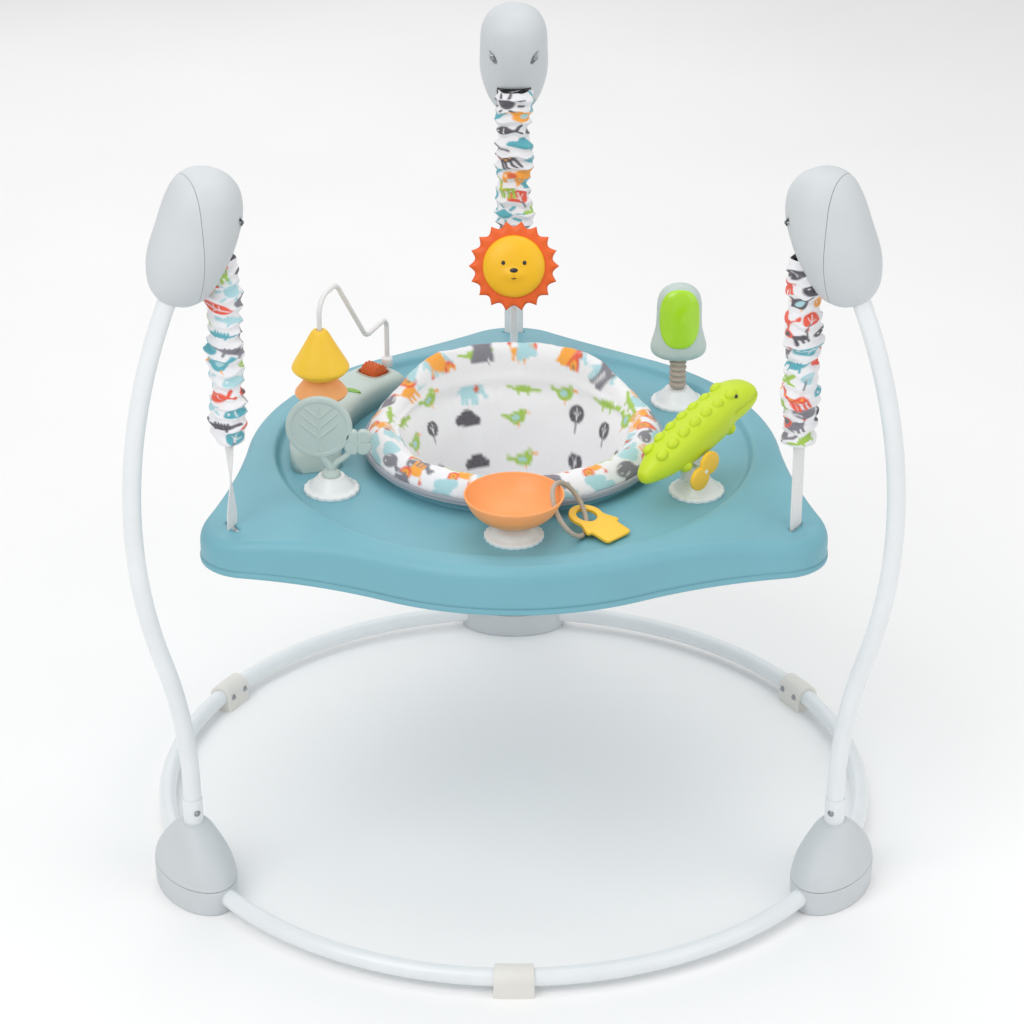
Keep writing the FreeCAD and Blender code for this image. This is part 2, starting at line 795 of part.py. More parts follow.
def make_hangers():
    """Make the anchor pins, the extension springs and their gathered sleeves, and the straps."""
    pins = []
    springs = []
    for name, station in LEG_STATIONS.items():
        pin = cylinder(f"pin_{name}", "pin_od / 2", "pin_length", x="hanger_radius", y="pin_length / 2",
                       z="pin_height", axis=OUTWARD, turn="90")
        pins.append(put(group(f"pin_{name}_at", pin), turn=str(station)))
        springs.append(put(make_spring(name), turn=str(station)))

        sleeve = block(f"sleeve_{name}_cloth", "sleeve_depth", "sleeve_width", "sleeve_top - sleeve_bottom",
                       x="hanger_radius", z="sleeve_bottom")
        inside = block(f"sleeve_{name}_inside", "sleeve_depth - 2 * sleeve_wall", "sleeve_width - 2 * sleeve_wall",
                       "sleeve_top - sleeve_bottom + 2", x="hanger_radius", z="sleeve_bottom - 1")
        keep(cut(f"sleeve_{name}", sleeve, inside), f"spring_cover_{name}", station)

        loop_top = "bar_height + bar_thick / 2 + slip_gap + web_thick"
        web = block(f"web_{name}", "web_thick", "web_width", f"web_top - ({loop_top}) + web_thick / 2",
                    x="hanger_radius", z=f"{loop_top} - web_thick / 2")
        loop_height = "bar_thick + 2 * slip_gap + 2 * web_thick"
        loop_depth = "bar_width + 2 * slip_gap + 2 * web_thick"
        loop = block(f"web_loop_{name}", loop_depth, "web_width", loop_height, x="hanger_radius",
                     z=f"bar_height - ({loop_height}) / 2")
        slit = block(f"web_slit_{name}", "bar_width + 2 * slip_gap", "web_width + 2", "bar_thick + 2 * slip_gap",
                     x="hanger_radius", z="bar_height - bar_thick / 2 - slip_gap")
        eyelet = cylinder(f"web_eyelet_{name}", "web_hole / 2", "web_thick + 4", x="hanger_radius - web_thick / 2 - 2",
                          z="web_top - web_hole", axis=TANGENT, turn="90")
        strap = cut(f"web_bored_{name}", fuse(f"web_looped_{name}", web, loop), slit, eyelet)
        keep(strap, f"strap_{name}", station)
    keep(group("pin_set", *pins), "anchor_pins")
    keep(group("spring_set", *springs), "extension_springs")
    bars = [put(group(f"bar_{name}_at", block(f"bar_{name}", "bar_width", "bar_length", "bar_thick",
                                              x="hanger_radius", z="bar_height - bar_thick / 2")),
                turn=str(station)) for name, station in LEG_STATIONS.items()]
    keep(group("bar_set", *bars), "strap_bars")


def make_spring(name):
    """Make an extension spring: a coil between an eye on the pin and an eye in the strap."""
    top_eye = "pin_height - (spring_eye - spring_wire / 2 - pin_od / 2 - slip_gap)"
    bottom_eye = "web_top - web_hole + web_hole / 2 - spring_wire / 2 - slip_gap + spring_eye"
    top = f"({top_eye} - spring_eye)"
    helix = make("Helix", f"spring_line_{name}", Pitch="spring_pitch", Radius="spring_radius",
                 Height=f"{top} - spring_bottom")
    put(helix, x="hanger_radius", z="spring_bottom")
    wire = put(make("Circle", f"spring_wire_{name}", Radius="spring_wire / 2"),
               x="hanger_radius + spring_radius", z="spring_bottom", axis=OUTWARD, turn="90")
    coil = DOCUMENT.addObject("Part::Sweep", f"spring_coil_{name}")
    coil.Sections = [wire]
    coil.Spine = (helix, ["Edge1"])
    coil.Solid = True
    coil.Frenet = True
    eyes = []
    for end, height in (("top", top_eye), ("bottom", bottom_eye)):
        eye = make("Torus", f"spring_{end}_eye_{name}", Radius1="spring_eye", Radius2="spring_wire / 2")
        eyes.append(put(eye, x="hanger_radius", z=height, axis=OUTWARD, turn="90"))
    return group(f"spring_{name}", coil, *eyes)


def lobed_solid(name, inset):
    """Make the tray's outer form, or its hollow where inset is the wall: lobes, sloped top, round edge."""
    body = new_body(name)
    sketch = add_sketch(body, f"{name}_outline", "XY_Plane", "tray_bottom - 1" if inset != "0" else "tray_bottom")
    lobed_outline(sketch, inset)
    push = body.newObject("PartDesign::Pad", f"{name}_pad")
    push.Profile = sketch
    bind(push, Length=f"tray_lip_height + 10 - tray_bottom")
    outside = "tray_lip_radius + 2 * tray_slope_run"
    crown = [
        ("0", f"well_height - {inset}"),
        (f"well_floor_radius + {inset} / 2", f"well_height - {inset}"),
        (f"well_top_radius + {inset} / 2", f"tray_lip_height - {inset}"),
        ("tray_lip_radius", f"tray_lip_height - {inset}"),
        (outside, f"tray_lip_height - {inset} - 2 * tray_slope_rise"),
        (outside, "tray_lip_height + 40"),
        ("0", "tray_lip_height + 40"),
    ]
    spin(body, draw(add_sketch(body, f"{name}_crown"), crown), kind="Groove")
    shoulder = value("tray_lip_height - 2 * tray_slope_rise")
    far = value("tray_lip_radius + 8")
    on_rim = (lambda edge: edge.BoundBox.ZMin > shoulder
              and math.hypot(edge.CenterOfMass.x, edge.CenterOfMass.y) > far * 0.6
              and min(math.hypot(corner.Point.x, corner.Point.y) for corner in edge.Vertexes) > far)
    return round_edges(body, f"tray_edge_round - {inset}", on_rim)


def lobed_outline(sketch, inset):
    """Draw the tray's outline: three round lobes blended by hollow arcs into a round body."""
    body = f"(tray_body - {inset})"
    lobe = f"(tray_lobe_round - {inset})"
    hollow = f"(tray_blend + {inset})"
    reach = value(body) + value(hollow)
    span = value(lobe) + value(hollow)
    centre = value("tray_lobe_centre")
    swing = math.acos((reach ** 2 + centre ** 2 - span ** 2) / (2 * reach * centre))
    tip_turn = math.acos((span ** 2 + centre ** 2 - reach ** 2) / (2 * span * centre))
    arcs = []
    for station in LEG_STATIONS.values():
        middle = math.radians(station)
        spot = Vector(centre * math.cos(middle), centre * math.sin(middle), 0)
        arcs.append((spot, lobe, middle - math.pi + tip_turn, middle + math.pi - tip_turn))
        for side in (-1, 1):
            away = middle + side * swing
            focus = Vector(reach * math.cos(away), reach * math.sin(away), 0)
            back = math.atan2(-focus.y, -focus.x)
            to_tip = math.atan2(spot.y - focus.y, spot.x - focus.x)
            turn = (to_tip - back + math.pi) % (2 * math.pi) - math.pi
            arcs.append((focus, hollow, min(back, back + turn), max(back, back + turn)))
        after = middle + math.radians(120)
        arcs.append((Vector(0, 0, 0), body, middle + swing, after - swing))
    edges = []
    for focus, radius, start, finish in arcs:
        ring = Part.Circle(focus, Vector(*UP), value(radius))
        edge = sketch.addGeometry(Part.ArcOfCircle(ring, start, finish))
        edges.append(edge)
        held = sketch.addConstraint(Sketcher.Constraint("Radius", edge, value(radius)))
        sketch.setExpression(f"Constraints[{held}]", in_sheet(radius))
        if focus.Length < 1:
            sketch.addConstraint(Sketcher.Constraint("Coincident", edge, 3, -1, 1))
    for index, station in enumerate(LEG_STATIONS.values()):
        pin_point(sketch, edges[4 * index], 3,
                  (f"tray_lobe_centre * cos({station})", f"tray_lobe_centre * sin({station})"))
    ends = [(edge, end, sketch.getPoint(edge, end)) for edge in edges for end in (1, 2)]
    for position, (edge, end, spot) in enumerate(ends):
        for other, other_end, other_spot in ends[position + 1:]:
            if other != edge and spot.distanceToPoint(other_spot) < 0.01:
                sketch.addConstraint(Sketcher.Constraint("Tangent", edge, end, other, other_end))


def make_tray():
    """Make the hollow play tray, with its seat collar, strap slots and peg holes."""
    shell = cut("tray_hollowed", lobed_solid("tray_form", "0"), lobed_solid("tray_hollow", "tray_wall"))
    collar = cylinder("tray_collar", "hole_radius + collar_wall", "collar_top - collar_bottom", z="collar_bottom")
    opening = cylinder("tray_opening", "hole_radius", "200", z="400")
    tools = [opening]
    for name, station in LEG_STATIONS.items():
        slot = block(f"tray_slot_{name}", "slot_width", "slot_length", "40", x="hanger_radius", z="465")
        tools.append(put(group(f"tray_slot_{name}_at", slot), turn=str(station)))
    for toy in ("tree", "bird", "croc", "bowl"):
        tools.append(cylinder(f"tray_peg_{toy}", "peg_hole_radius", "40", x=f"{toy}_radius * cos({toy}_azimuth)",
                              y=f"{toy}_radius * sin({toy}_azimuth)", z="well_height - 20"))
    keep(cut("tray", fuse("tray_collared", shell, collar), *tools), "play_tray")


def make_seat():
    """Make the seat's turning ring, the glides it turns on and the padded fabric seat it carries."""
    top = "flange_bottom + flange_thick"
    ring = turned("ring", [
        (f"{NECK_RADIUS} - neck_wall", "hook_height"),
        (NECK_RADIUS, "hook_height"),
        (NECK_RADIUS, "flange_bottom"),
        ("flange_radius", "flange_bottom"),
        ("flange_radius", f"{top}"),
        (f"{NECK_RADIUS} - neck_wall", top),
    ])
    hooks = []
    for index in range(3):
        hook = turned(f"ring_hook_{index}", [
            (f"{NECK_RADIUS} - 1", "hook_height"),
            ("hook_reach", "hook_height"),
            ("hook_reach", "hook_height + hook_thick"),
            (f"{NECK_RADIUS} - 1", "hook_height + hook_thick"),
        ], "hook_turn")
        hooks.append(put(hook, turn=f"{index} * 120 + 30"))
    keep(fuse("ring_hooked", ring, *hooks), "seat_ring")

    glides = []
    middle = "(hole_radius + collar_wall / 2)"
    for index in range(6):
        glide = turned(f"glide_{index}", [
            (f"{middle} - glide_width / 2", "collar_top + seat_gap"),
            (f"{middle} + glide_width / 2", "collar_top + seat_gap"),
            (f"{middle} + glide_width / 2", "flange_bottom"),
            (f"{middle} - glide_width / 2", "flange_bottom"),
        ], "glide_turn")
        glides.append(put(glide, turn=f"{index} * 60"))
    keep(group("glide_set", *glides), "seat_glides")

    inner = f"({NECK_RADIUS} - neck_wall - seat_gap)"
    rest = f"({top} + seat_gap)"
    pad = turned("pad", [
        ("0", "seat_depth"),
        ("62", "seat_depth", "60"),
        ("112", "seat_depth + 42"),
        ("138", "440"),
        (inner, "500"),
        (inner, rest),
        ("flange_radius - 3", rest, "24"),
        ("flange_radius - 14", f"{rest} + 19", "30"),
        ("flange_radius - 44", f"{rest} + 19"),
        ("flange_radius - 58", "490"),
        ("138 - 2 * seat_wall", "440"),
        ("112 - seat_wall", "seat_depth + 44"),
        ("62", "seat_depth + seat_wall"),
        ("0", "seat_depth + seat_wall"),
    ])
    back = turned("backrest", [
        ("back_radius - back_thick", f"{rest} + 8"),
        ("back_radius", f"{rest} + 8"),
        ("back_radius", "back_height - back_thick / 2", "back_thick / 2"),
        ("back_radius - back_thick / 2", "back_height", "back_thick / 2"),
        ("back_radius - back_thick", "back_height - back_thick / 2"),
    ], "back_turn")
    put(back, turn="90 - back_turn / 2 + 4")
    holes = [cylinder(f"leg_hole_{side}", "leg_hole_radius", "200", x=f"{side} * leg_hole_offset", y="-10",
                      z="leg_hole_height", axis=OUTWARD, turn="90") for side in (-1, 1)]
    keep(cut("seat", fuse("seat_whole", pad, back), *holes), "seat_fabric")


def make_toy_bases():
    """Make the four identical bases whose pegs snap into the tray."""
    bases = []
    for toy in ("tree", "bird", "croc", "bowl"):
        base = turned(f"base_{toy}", [
            ("0", "-tray_wall - 4"),
            ("peg_radius", "-tray_wall - 4"),
            ("peg_radius", "0"),
            ("base_radius", "0"),
            ("base_radius", "base_rim", "base_dome"),
            ("base_top_radius", "base_height"),
            ("0", "base_height"),
        ])
        bases.append(put(base, x=f"{toy}_radius * cos({toy}_azimuth)", y=f"{toy}_radius * sin({toy}_azimuth)",
                         z="well_height"))
    keep(group("base_set", *bases), "toy_bases")


def flat_disc(name, radius, x, z, thick="leaf_thick"):
    """Make a round plate that faces along Y."""
    return cylinder(name, radius, thick, x=x, y=f"({thick}) / 2", z=z, axis=OUTWARD, turn="90")


def stem(name, x, z, top_x, top_z, radius="stem_radius"):
    """Make a straight round stem between two points over the base."""
    run = f"(({top_x}) - ({x}))"
    rise = f"(({top_z}) - ({z}))"
    length = f"sqrt({run} * {run} + {rise} * {rise})"
    lean = math.degrees(math.atan2(value(run), value(rise)))
    return cylinder(name, radius, length, x=x, z=z, axis=TANGENT, turn=str(lean))


def make_tree():
    """Make the tree toy: a round leaf and a clover sprig on two stems, free to swivel on its base."""
    pieces = [
        flat_disc("tree_leaf", "leaf_radius", "leaf_offset", "leaf_height"),
        cylinder("tree_foot", "base_top_radius - 4", "4", z="base_height + toy_gap"),
        stem("tree_stem", "0", "base_height + 2", "leaf_offset", "leaf_height - leaf_radius + 3"),
        stem("tree_twig", "0", "base_height + 6", "sprig_offset - 6", "sprig_height - 8"),
    ]
    for index in range(4):
        x = f"sprig_offset + sprig_spread * cos(45 + 90 * {index})"
        z = f"sprig_height + sprig_spread * sin(45 + 90 * {index})"
        pieces.append(flat_disc(f"tree_clover_{index}", "sprig_radius", x, z))
    keep_toy(fuse("tree", *pieces), "tree_toy", "tree")


def make_bead_hill():
    """Make the bead hill: its platform, the bent wire, two cone beads, the roller and the sprout."""
    outline = [
        ("hill_inner", "well_height"),
        ("hill_outer", "well_height"),
        ("hill_outer", "hill_top - hill_round", "hill_round"),
        ("hill_outer - hill_round", "hill_top"),
        ("hill_inner + hill_round", "hill_top", "hill_round"),
        ("hill_inner", "hill_top - hill_round"),
    ]
    hill = put(turned("hill", outline, "hill_turn"), turn="hill_start")
    post = cylinder("hill_post", "post_radius", "post_top - well_height", x="wire_x", y="wire_y", z="well_height")
    landing_x = "wire_x + wire_end * cos(wire_turn)"
    landing_y = "wire_y + wire_end * sin(wire_turn)"
    holes = [
        cylinder("hill_wire_bore", "wire_radius + toy_gap", "80", x="wire_x", y="wire_y", z="wire_foot"),
        cylinder("hill_landing_bore", "wire_radius + toy_gap", "40", x=landing_x, y=landing_y, z="wire_foot"),
    ]
    reach = "(roller_length / 2 + roller_pocket_gap)"
    pocket = cylinder("hill_pocket", "roller_radius + roller_pocket_gap", f"2 * {reach}",
                      x=f"roller_centre - {reach}", z="roller_height", axis=TANGENT, turn="90")
    holes.append(put(group("hill_pocket_at", pocket), turn="roller_azimuth"))
    groove = cylinder("hill_axle_bore", "axle_radius + 0.05", "axle_length", x="roller_centre - axle_length / 2",
                      z="roller_height", axis=TANGENT, turn="90")
    holes.append(put(group("hill_axle_bore_at", groove), turn="roller_azimuth"))
    holes.append(put(sprout("hill_sprout_pocket", "toy_gap"), turn="sprout_azimuth"))
    keep(cut("bead_hill", fuse("hill_posted", hill, post), *holes), "bead_platform")
    keep(sprout("sprout", "0"), "leaf_insert", value("sprout_azimuth"))

    crest = "wire_top"
    corners = [tuple(value(text) for text in corner) for corner in (
        ("0", "wire_foot"),
        ("0", crest, "wire_crest_bend"),
        ("wire_crest", crest, "wire_crest_bend"),
        ("wire_dip", "wire_dip_height", "wire_dip_bend"),
        ("wire_end", "wire_dip_height", "wire_end_bend"),
        ("wire_end", "wire_foot"),
    )]
    wire = piped("wire", rounded_path(corners), "wire_radius")
    wire.Label = "bead_wire"
    put(wire, x="wire_x", y=f"wire_y + {AXIS_SHIFT}", turn="wire_turn")
    PARTS["bead_wire"] = wire

    rest = "(post_top + toy_gap)"
    peach = turned("peach", [
        (BEAD_BORE, rest),
        ("peach_radius - 4", rest),
        ("peach_radius", f"{rest} + 5"),
        ("peach_top_radius", f"{rest} + peach_height"),
        (BEAD_BORE, f"{rest} + peach_height"),
    ])
    seat = f"({rest} + peach_height + toy_gap)"
    yellow = turned("yellow", [
        (BEAD_BORE, seat),
        ("yellow_radius - 14", seat),
        ("yellow_radius", f"{seat} + yellow_skirt - 6"),
        ("yellow_radius - 1", f"{seat} + yellow_skirt"),
        ("yellow_top_radius", f"{seat} + yellow_height"),
        (BEAD_BORE, f"{seat} + yellow_height"),
    ])
    for bead, node in ((peach, "peach_cone"), (yellow, "yellow_cone")):
        bead.Label = node
        put(bead, x="wire_x", y=f"wire_y + {AXIS_SHIFT}")
        PARTS[node] = bead

    drum = cylinder("roller_drum", "roller_radius", "roller_length", x="roller_centre - roller_length / 2",
                    z="roller_height", axis=TANGENT, turn="90")
    bore = cylinder("roller_bore", "axle_radius + 0.05", "roller_length + 2",
                    x="roller_centre - roller_length / 2 - 1", z="roller_height", axis=TANGENT, turn="90")
    keep(cut("roller", drum, bore), "roller", value("roller_azimuth"))
    axle = cylinder("roller_pin", "axle_radius", "axle_length - 0.4", x="roller_centre - axle_length / 2 + 0.2",
                    z="roller_height", axis=TANGENT, turn="90")
    keep(group("roller_axle_at", axle), "roller_axle", value("roller_azimuth"))


def sprout(name, gap):
    """Make the leaf-shaped insert on the hill's top, or with a gap the pocket that it sits in."""
    half = "sprout_length / 2"
    bow = "(sprout_length * sprout_length / 4 + sprout_width * sprout_width / 4) / sprout_width"
    outline = [
        (f"sprout_centre - {half} - {gap}", "0", f"{bow}"),
        (f"sprout_centre + {half} + {gap}", "0", f"{bow}"),
    ]
    return pushed(name, outline, "sprout_thick + 1", offset="hill_top - sprout_thick")


def make_lion():
    """Make the lion: a bent stalk with a spindle, and the mane and face that spin on it."""
    knee = value("stalk_base - stalk_knee_shift")
    reach = value("lion_distance + (mane_thick / 2 + 3) / cos(lion_tilt)")
    tilt = math.radians(value("lion_tilt"))
    back = value("mane_thick / 2 + toy_gap")
    hub = (value("lion_distance") + back * math.cos(tilt), value("lion_height") - back * math.sin(tilt))
    corner = (knee, hub[1] - (knee - hub[0]) * math.tan(tilt))
    corners = [
        (value("stalk_base"), value("well_height")),
        (value("stalk_base"), value("stalk_knee"), 40),
        (corner[0] - 3, corner[1], 18),
        hub,
    ]
    stalk = put(piped("stalk", rounded_path(corners), "stalk_radius"), turn="90")
    spindle = cylinder("lion_spindle", "spindle_radius", "mane_thick + toy_gap + 4", x="0",
                       y=f"lion_distance + (mane_thick / 2 + toy_gap + 1) * cos(lion_tilt)",
                       z=f"lion_height - (mane_thick / 2 + toy_gap + 1) * sin(lion_tilt)",
                       axis=OUTWARD, turn="90 - lion_tilt")
    keep(fuse("lion_stem", stalk, spindle), "lion_stalk")

    disc = cylinder("mane_disc", "mane_radius", "mane_thick", z="-mane_thick / 2")
    tufts = []
    for index in range(int(value("mane_tufts"))):
        around = f"360 / mane_tufts * {index}"
        tufts.append(cylinder(f"mane_tuft_{index}", "mane_tuft", "mane_thick", x=f"mane_radius * cos({around})",
                              y=f"mane_radius * sin({around})", z="-mane_thick / 2"))
    bore = cylinder("mane_bore", "spindle_radius + spindle_gap", "mane_thick + 2", z="-mane_thick / 2 - 1")
    keep_lion(cut("mane", fuse("mane_whole", disc, *tufts), bore), "lion_mane")
    face = turned("face", [
        ("0", "mane_thick / 2"),
        ("face_radius", "mane_thick / 2"),
        ("face_radius", "mane_thick / 2 + 3", "face_radius + 12"),
        ("face_flat", "mane_thick / 2 + face_thick"),
        ("0", "mane_thick / 2 + face_thick"),
    ])
    socket = cylinder("face_bore", "spindle_radius + spindle_gap", "7", z="mane_thick / 2 - 1")
    keep_lion(cut("face_bored", face, socket), "lion_face")


def keep_lion(thing, node):
    """File a piece of the lion, drawn about its hub with +Z out of its face."""
    thing.Label = node
    put(thing, y=f"lion_distance + {AXIS_SHIFT}", z="lion_height", axis=OUTWARD, turn="90 - lion_tilt")
    PARTS[node] = thing


def make_bird():
    """Make the bird: a ribbed neck, a moulded body and the panel on its front."""
    neck = [("0", "base_height + rock_gap"), ("neck_foot", "base_height + rock_gap")]
    ribs = 4
    for index in range(ribs):
        level = f"base_height + rock_gap + {index} * neck_height / {ribs}"
        step = f"neck_height / {ribs}"
        neck.append(("neck_rib", f"{level} + {step} / 2"))
        neck.append(("neck_radius", f"{level} + {step} * 3 / 4"))
        if index + 1 < ribs:
            neck.append(("neck_rib", f"{level} + {step}"))
    neck.append(("neck_radius", "base_height + rock_gap + neck_height"))
    neck.append(("0", "base_height + rock_gap + neck_height"))
    keep_toy(turned("neck", neck), "bird_neck", "bird")
    foot = "base_height + rock_gap + neck_height"
    body = loft("bird_whole", [
        (f"{foot}", "0", "10", "12"),
        (f"{foot} + 8", "0", "18", "31"),
        (f"{foot} + 20", "0", "20", "35"),
        (f"{foot} + 48", "0", "19", "28"),
        (f"{foot} + 76", "0", "18", "28"),
        (f"{foot} + 94", "0", "13", "20"),
        (f"{foot} + 103", "0", "5", "8"),
    ])
    keep_toy(body, "bird_body", "bird", facing=-90)
    panel = cylinder("panel_plate", "24", "panel_thick", x="20.5", z=f"{foot} + 62", axis=TANGENT, turn="90")
    keep_toy(group("panel_at", panel), "bird_panel", "bird", facing=-90)


def lateral_bar(name, radius, length, x, height, start):
    """Make a round bar across the crocodile, from its left towards its right."""
    return cylinder(name, radius, length, x=x, y=start, z=height, axis=OUTWARD, turn="90")


def make_croc():
    """Make the crocodile that rocks on its bridge, and the twin discs that spin at its side."""
    facing = value("croc_heading")
    stand = block("bridge_block", "bridge_length", "bridge_width", "bridge_height", x="bridge_shift",
                  y="croc_side", z="base_height")
    tongue = block("bridge_tongue", "tongue_length", "bridge_width", "pivot_height + 5 - base_height",
                   y="croc_side", z="base_height")
    axle = lateral_bar("bridge_axle", "pivot_radius", "disc_side + disc_thick + croc_side", "disc_shift",
                       "disc_height", "croc_side")
    bore = lateral_bar("bridge_bore", "pivot_radius + pivot_gap", "40", "0", "pivot_height", "croc_side + 20")
    keep_toy(cut("bridge", fuse("bridge_whole", stand, tongue, axle), bore), "croc_bridge", "croc", facing)
    pin = lateral_bar("croc_pivot", "pivot_radius", "pivot_length", "0", "pivot_height",
                      "croc_side + pivot_length / 2")
    keep_toy(group("croc_pivot_at", pin), "croc_pin", "croc", facing)

    half = "croc_length / 2"
    body = loft("croc_whole", [
        (f"-{half}", "0", "5", "7"),
        (f"-{half} + 26", "0", "13", "14"),
        (f"-{half} + 68", "0", "20", "21"),
        (f"{half} - 68", "0", "21", "22"),
        (f"{half} - 26", "0", "18", "19"),
        (f"{half}", "0", "7", "9"),
    ])
    posed = put(group("croc_posed", body), y="croc_side", z="croc_lift", axis=TANGENT, turn="90 - croc_pitch")
    room = block("croc_pocket", "pocket_length", "bridge_width + 2 * pocket_gap", "40", y="croc_side",
                 z="pivot_height + 5 + pocket_gap - 40")
    drilled = lateral_bar("croc_bore", "pivot_radius", "pivot_length", "0", "pivot_height",
                          "croc_side + pivot_length / 2")
    keep_toy(cut("croc", posed, room, drilled), "croc_body", "croc", facing)

    discs = [lateral_bar(f"disc_{side}", "disc_radius", "disc_thick", f"disc_shift + {side} * disc_spread",
                         f"disc_height + {side} * disc_spread", "-disc_side") for side in (-1, 1)]
    eye = lateral_bar("disc_bore", "pivot_radius + pivot_gap", "disc_thick + 2", "disc_shift", "disc_height",
                      "1 - disc_side")
    keep_toy(cut("discs_bored", fuse("discs", *discs), eye), "croc_spinner", "croc", facing)


def make_bowl():
    """Make the bowl, the ring through the hole in its wall and the tag on the ring."""
    low = "base_height"
    cup = turned("cup", [
        ("0", low),
        ("cup_foot", low, "cup_belly"),
        ("cup_radius", f"{low} + cup_height"),
        ("cup_radius - cup_wall", f"{low} + cup_height", "-cup_belly + cup_wall"),
        ("cup_foot - cup_wall", f"{low} + cup_wall"),
        ("0", f"{low} + cup_wall"),
    ])
    hole = cylinder("cup_hole", "cup_hole_radius", "40", x="cup_radius - 28", z=f"{low} + cup_hole_height",
                    axis=TANGENT, turn="90")
    drilled = put(group("cup_hole_at", hole), turn="cup_hole_turn")
    keep_toy(cut("cup_drilled", cup, drilled), "bowl", "bowl")

    loop = make("Torus", "link_loop", Radius1="link_radius", Radius2="link_wire")
    loop.Placement = Placement(Vector(), Rotation(Vector(*UP), value("link_azimuth"))
                               * Rotation(Vector(*TANGENT), 90 - value("link_lean")))
    keep_toy(group("link", loop), "bowl_ring", "bowl", x="link_x", y="link_y",
             z="link_wire + toy_gap + link_radius * cos(link_lean)")

    sheet = pushed("tag_sheet", [
        ("0", "tag_round"),
        ("0", "-tag_round"),
        ("tag_length - 14", "-tag_half_width"),
        ("tag_length", "-tag_half_width"),
        ("tag_length + 8", "0"),
        ("tag_length", "tag_half_width"),
        ("14", "tag_half_width"),
    ], "tag_thick")
    nose = cylinder("tag_nose", "tag_round", "tag_thick")
    eye = cylinder("tag_eye", "tag_hole", "tag_thick + 2", z="-1")
    plate = put(cut("tag_plate", fuse("tag_whole", sheet, nose), eye), axis=TANGENT, turn="tag_tilt")
    keep_toy(group("tag_at", plate), "ring_tag", "bowl", value("tag_heading"), x="tag_x", y="tag_y", z="tag_rise")


def write_parts():
    """Check every object and shape, then write one STEP file for each sub-part."""
    DOCUMENT.recompute()
    broken = [thing.Name for thing in DOCUMENT.Objects if {"Invalid", "Error"} & set(thing.State)]
    empty = [node for node, thing in PARTS.items() if thing.Shape.isNull() or not thing.Shape.isValid()]
    if broken or empty:
        raise RuntimeError(f"objects that failed: {broken}; shapes that are null or not valid: {empty}")
    os.makedirs("parts", exist_ok=True)
    for node, thing in PARTS.items():
        thing.Shape.exportStep(f"parts/{node}.step")
        box = thing.Shape.BoundBox
        print(f"{node:24s} solids {len(thing.Shape.Solids)} volume {thing.Shape.Volume:12.1f} "
              f"x {box.XMin:7.1f} {box.XMax:7.1f} y {box.YMin:7.1f} {box.YMax:7.1f} "
              f"z {box.ZMin:6.1f} {box.ZMax:6.1f}")


make_floor_ring()
make_feet()
make_legs()
make_heads()
make_screws()
make_hangers()
make_tray()
make_seat()
make_toy_bases()
make_tree()
make_bead_hill()
make_lion()
make_bird()
make_croc()
make_bowl()
write_parts()
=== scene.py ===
"""Looks of the activity jumper: painted steel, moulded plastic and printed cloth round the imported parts."""
import json
import logging
import math
from dataclasses import dataclass
from enum import Enum
from typing import Callable, Optional, Sequence

import bmesh
import bpy
import numpy as np
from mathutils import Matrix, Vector


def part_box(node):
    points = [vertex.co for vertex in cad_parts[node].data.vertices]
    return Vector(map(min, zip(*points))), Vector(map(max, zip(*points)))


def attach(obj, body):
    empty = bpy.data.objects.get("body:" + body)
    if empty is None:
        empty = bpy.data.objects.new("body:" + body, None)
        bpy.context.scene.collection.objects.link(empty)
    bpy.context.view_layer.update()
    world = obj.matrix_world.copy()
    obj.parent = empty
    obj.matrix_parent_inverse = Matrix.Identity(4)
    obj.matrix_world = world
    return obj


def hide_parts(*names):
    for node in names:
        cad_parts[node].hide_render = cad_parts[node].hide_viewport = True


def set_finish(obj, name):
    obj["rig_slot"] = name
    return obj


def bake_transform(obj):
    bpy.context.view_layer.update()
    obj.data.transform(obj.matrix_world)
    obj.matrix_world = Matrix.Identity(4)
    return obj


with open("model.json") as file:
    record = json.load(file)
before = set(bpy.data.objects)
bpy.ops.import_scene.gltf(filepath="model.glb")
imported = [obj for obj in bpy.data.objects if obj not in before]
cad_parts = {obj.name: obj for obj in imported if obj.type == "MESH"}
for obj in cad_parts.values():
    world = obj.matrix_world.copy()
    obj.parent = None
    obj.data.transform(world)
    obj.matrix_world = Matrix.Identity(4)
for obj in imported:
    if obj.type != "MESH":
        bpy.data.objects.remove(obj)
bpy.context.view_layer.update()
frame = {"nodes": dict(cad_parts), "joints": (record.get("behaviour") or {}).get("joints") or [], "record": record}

LOG = logging.getLogger("activity_jumper")
MM = 0.001
WELL = 491.0
STATIONS = {"left": 210.0, "right": 330.0, "rear": 90.0}
AXIS_Y = (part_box("seat_ring")[0].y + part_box("seat_ring")[1].y) / 2 / MM
Rgb = tuple[float, float, float]


def linear(colour: Sequence[float]) -> tuple[float, float, float, float]:
    """Turn an 8-bit sRGB colour into linear values.

    Args:
        colour: red, green and blue from 0 to 255.

    Returns:
        The linear colour with full opacity.
    """
    parts = [c / 255 for c in colour]
    return tuple((c / 12.92 if c <= 0.04045 else ((c + 0.055) / 1.055) ** 2.4) for c in parts) + (1.0,)


# ---------------------------------------------------------------- finishes


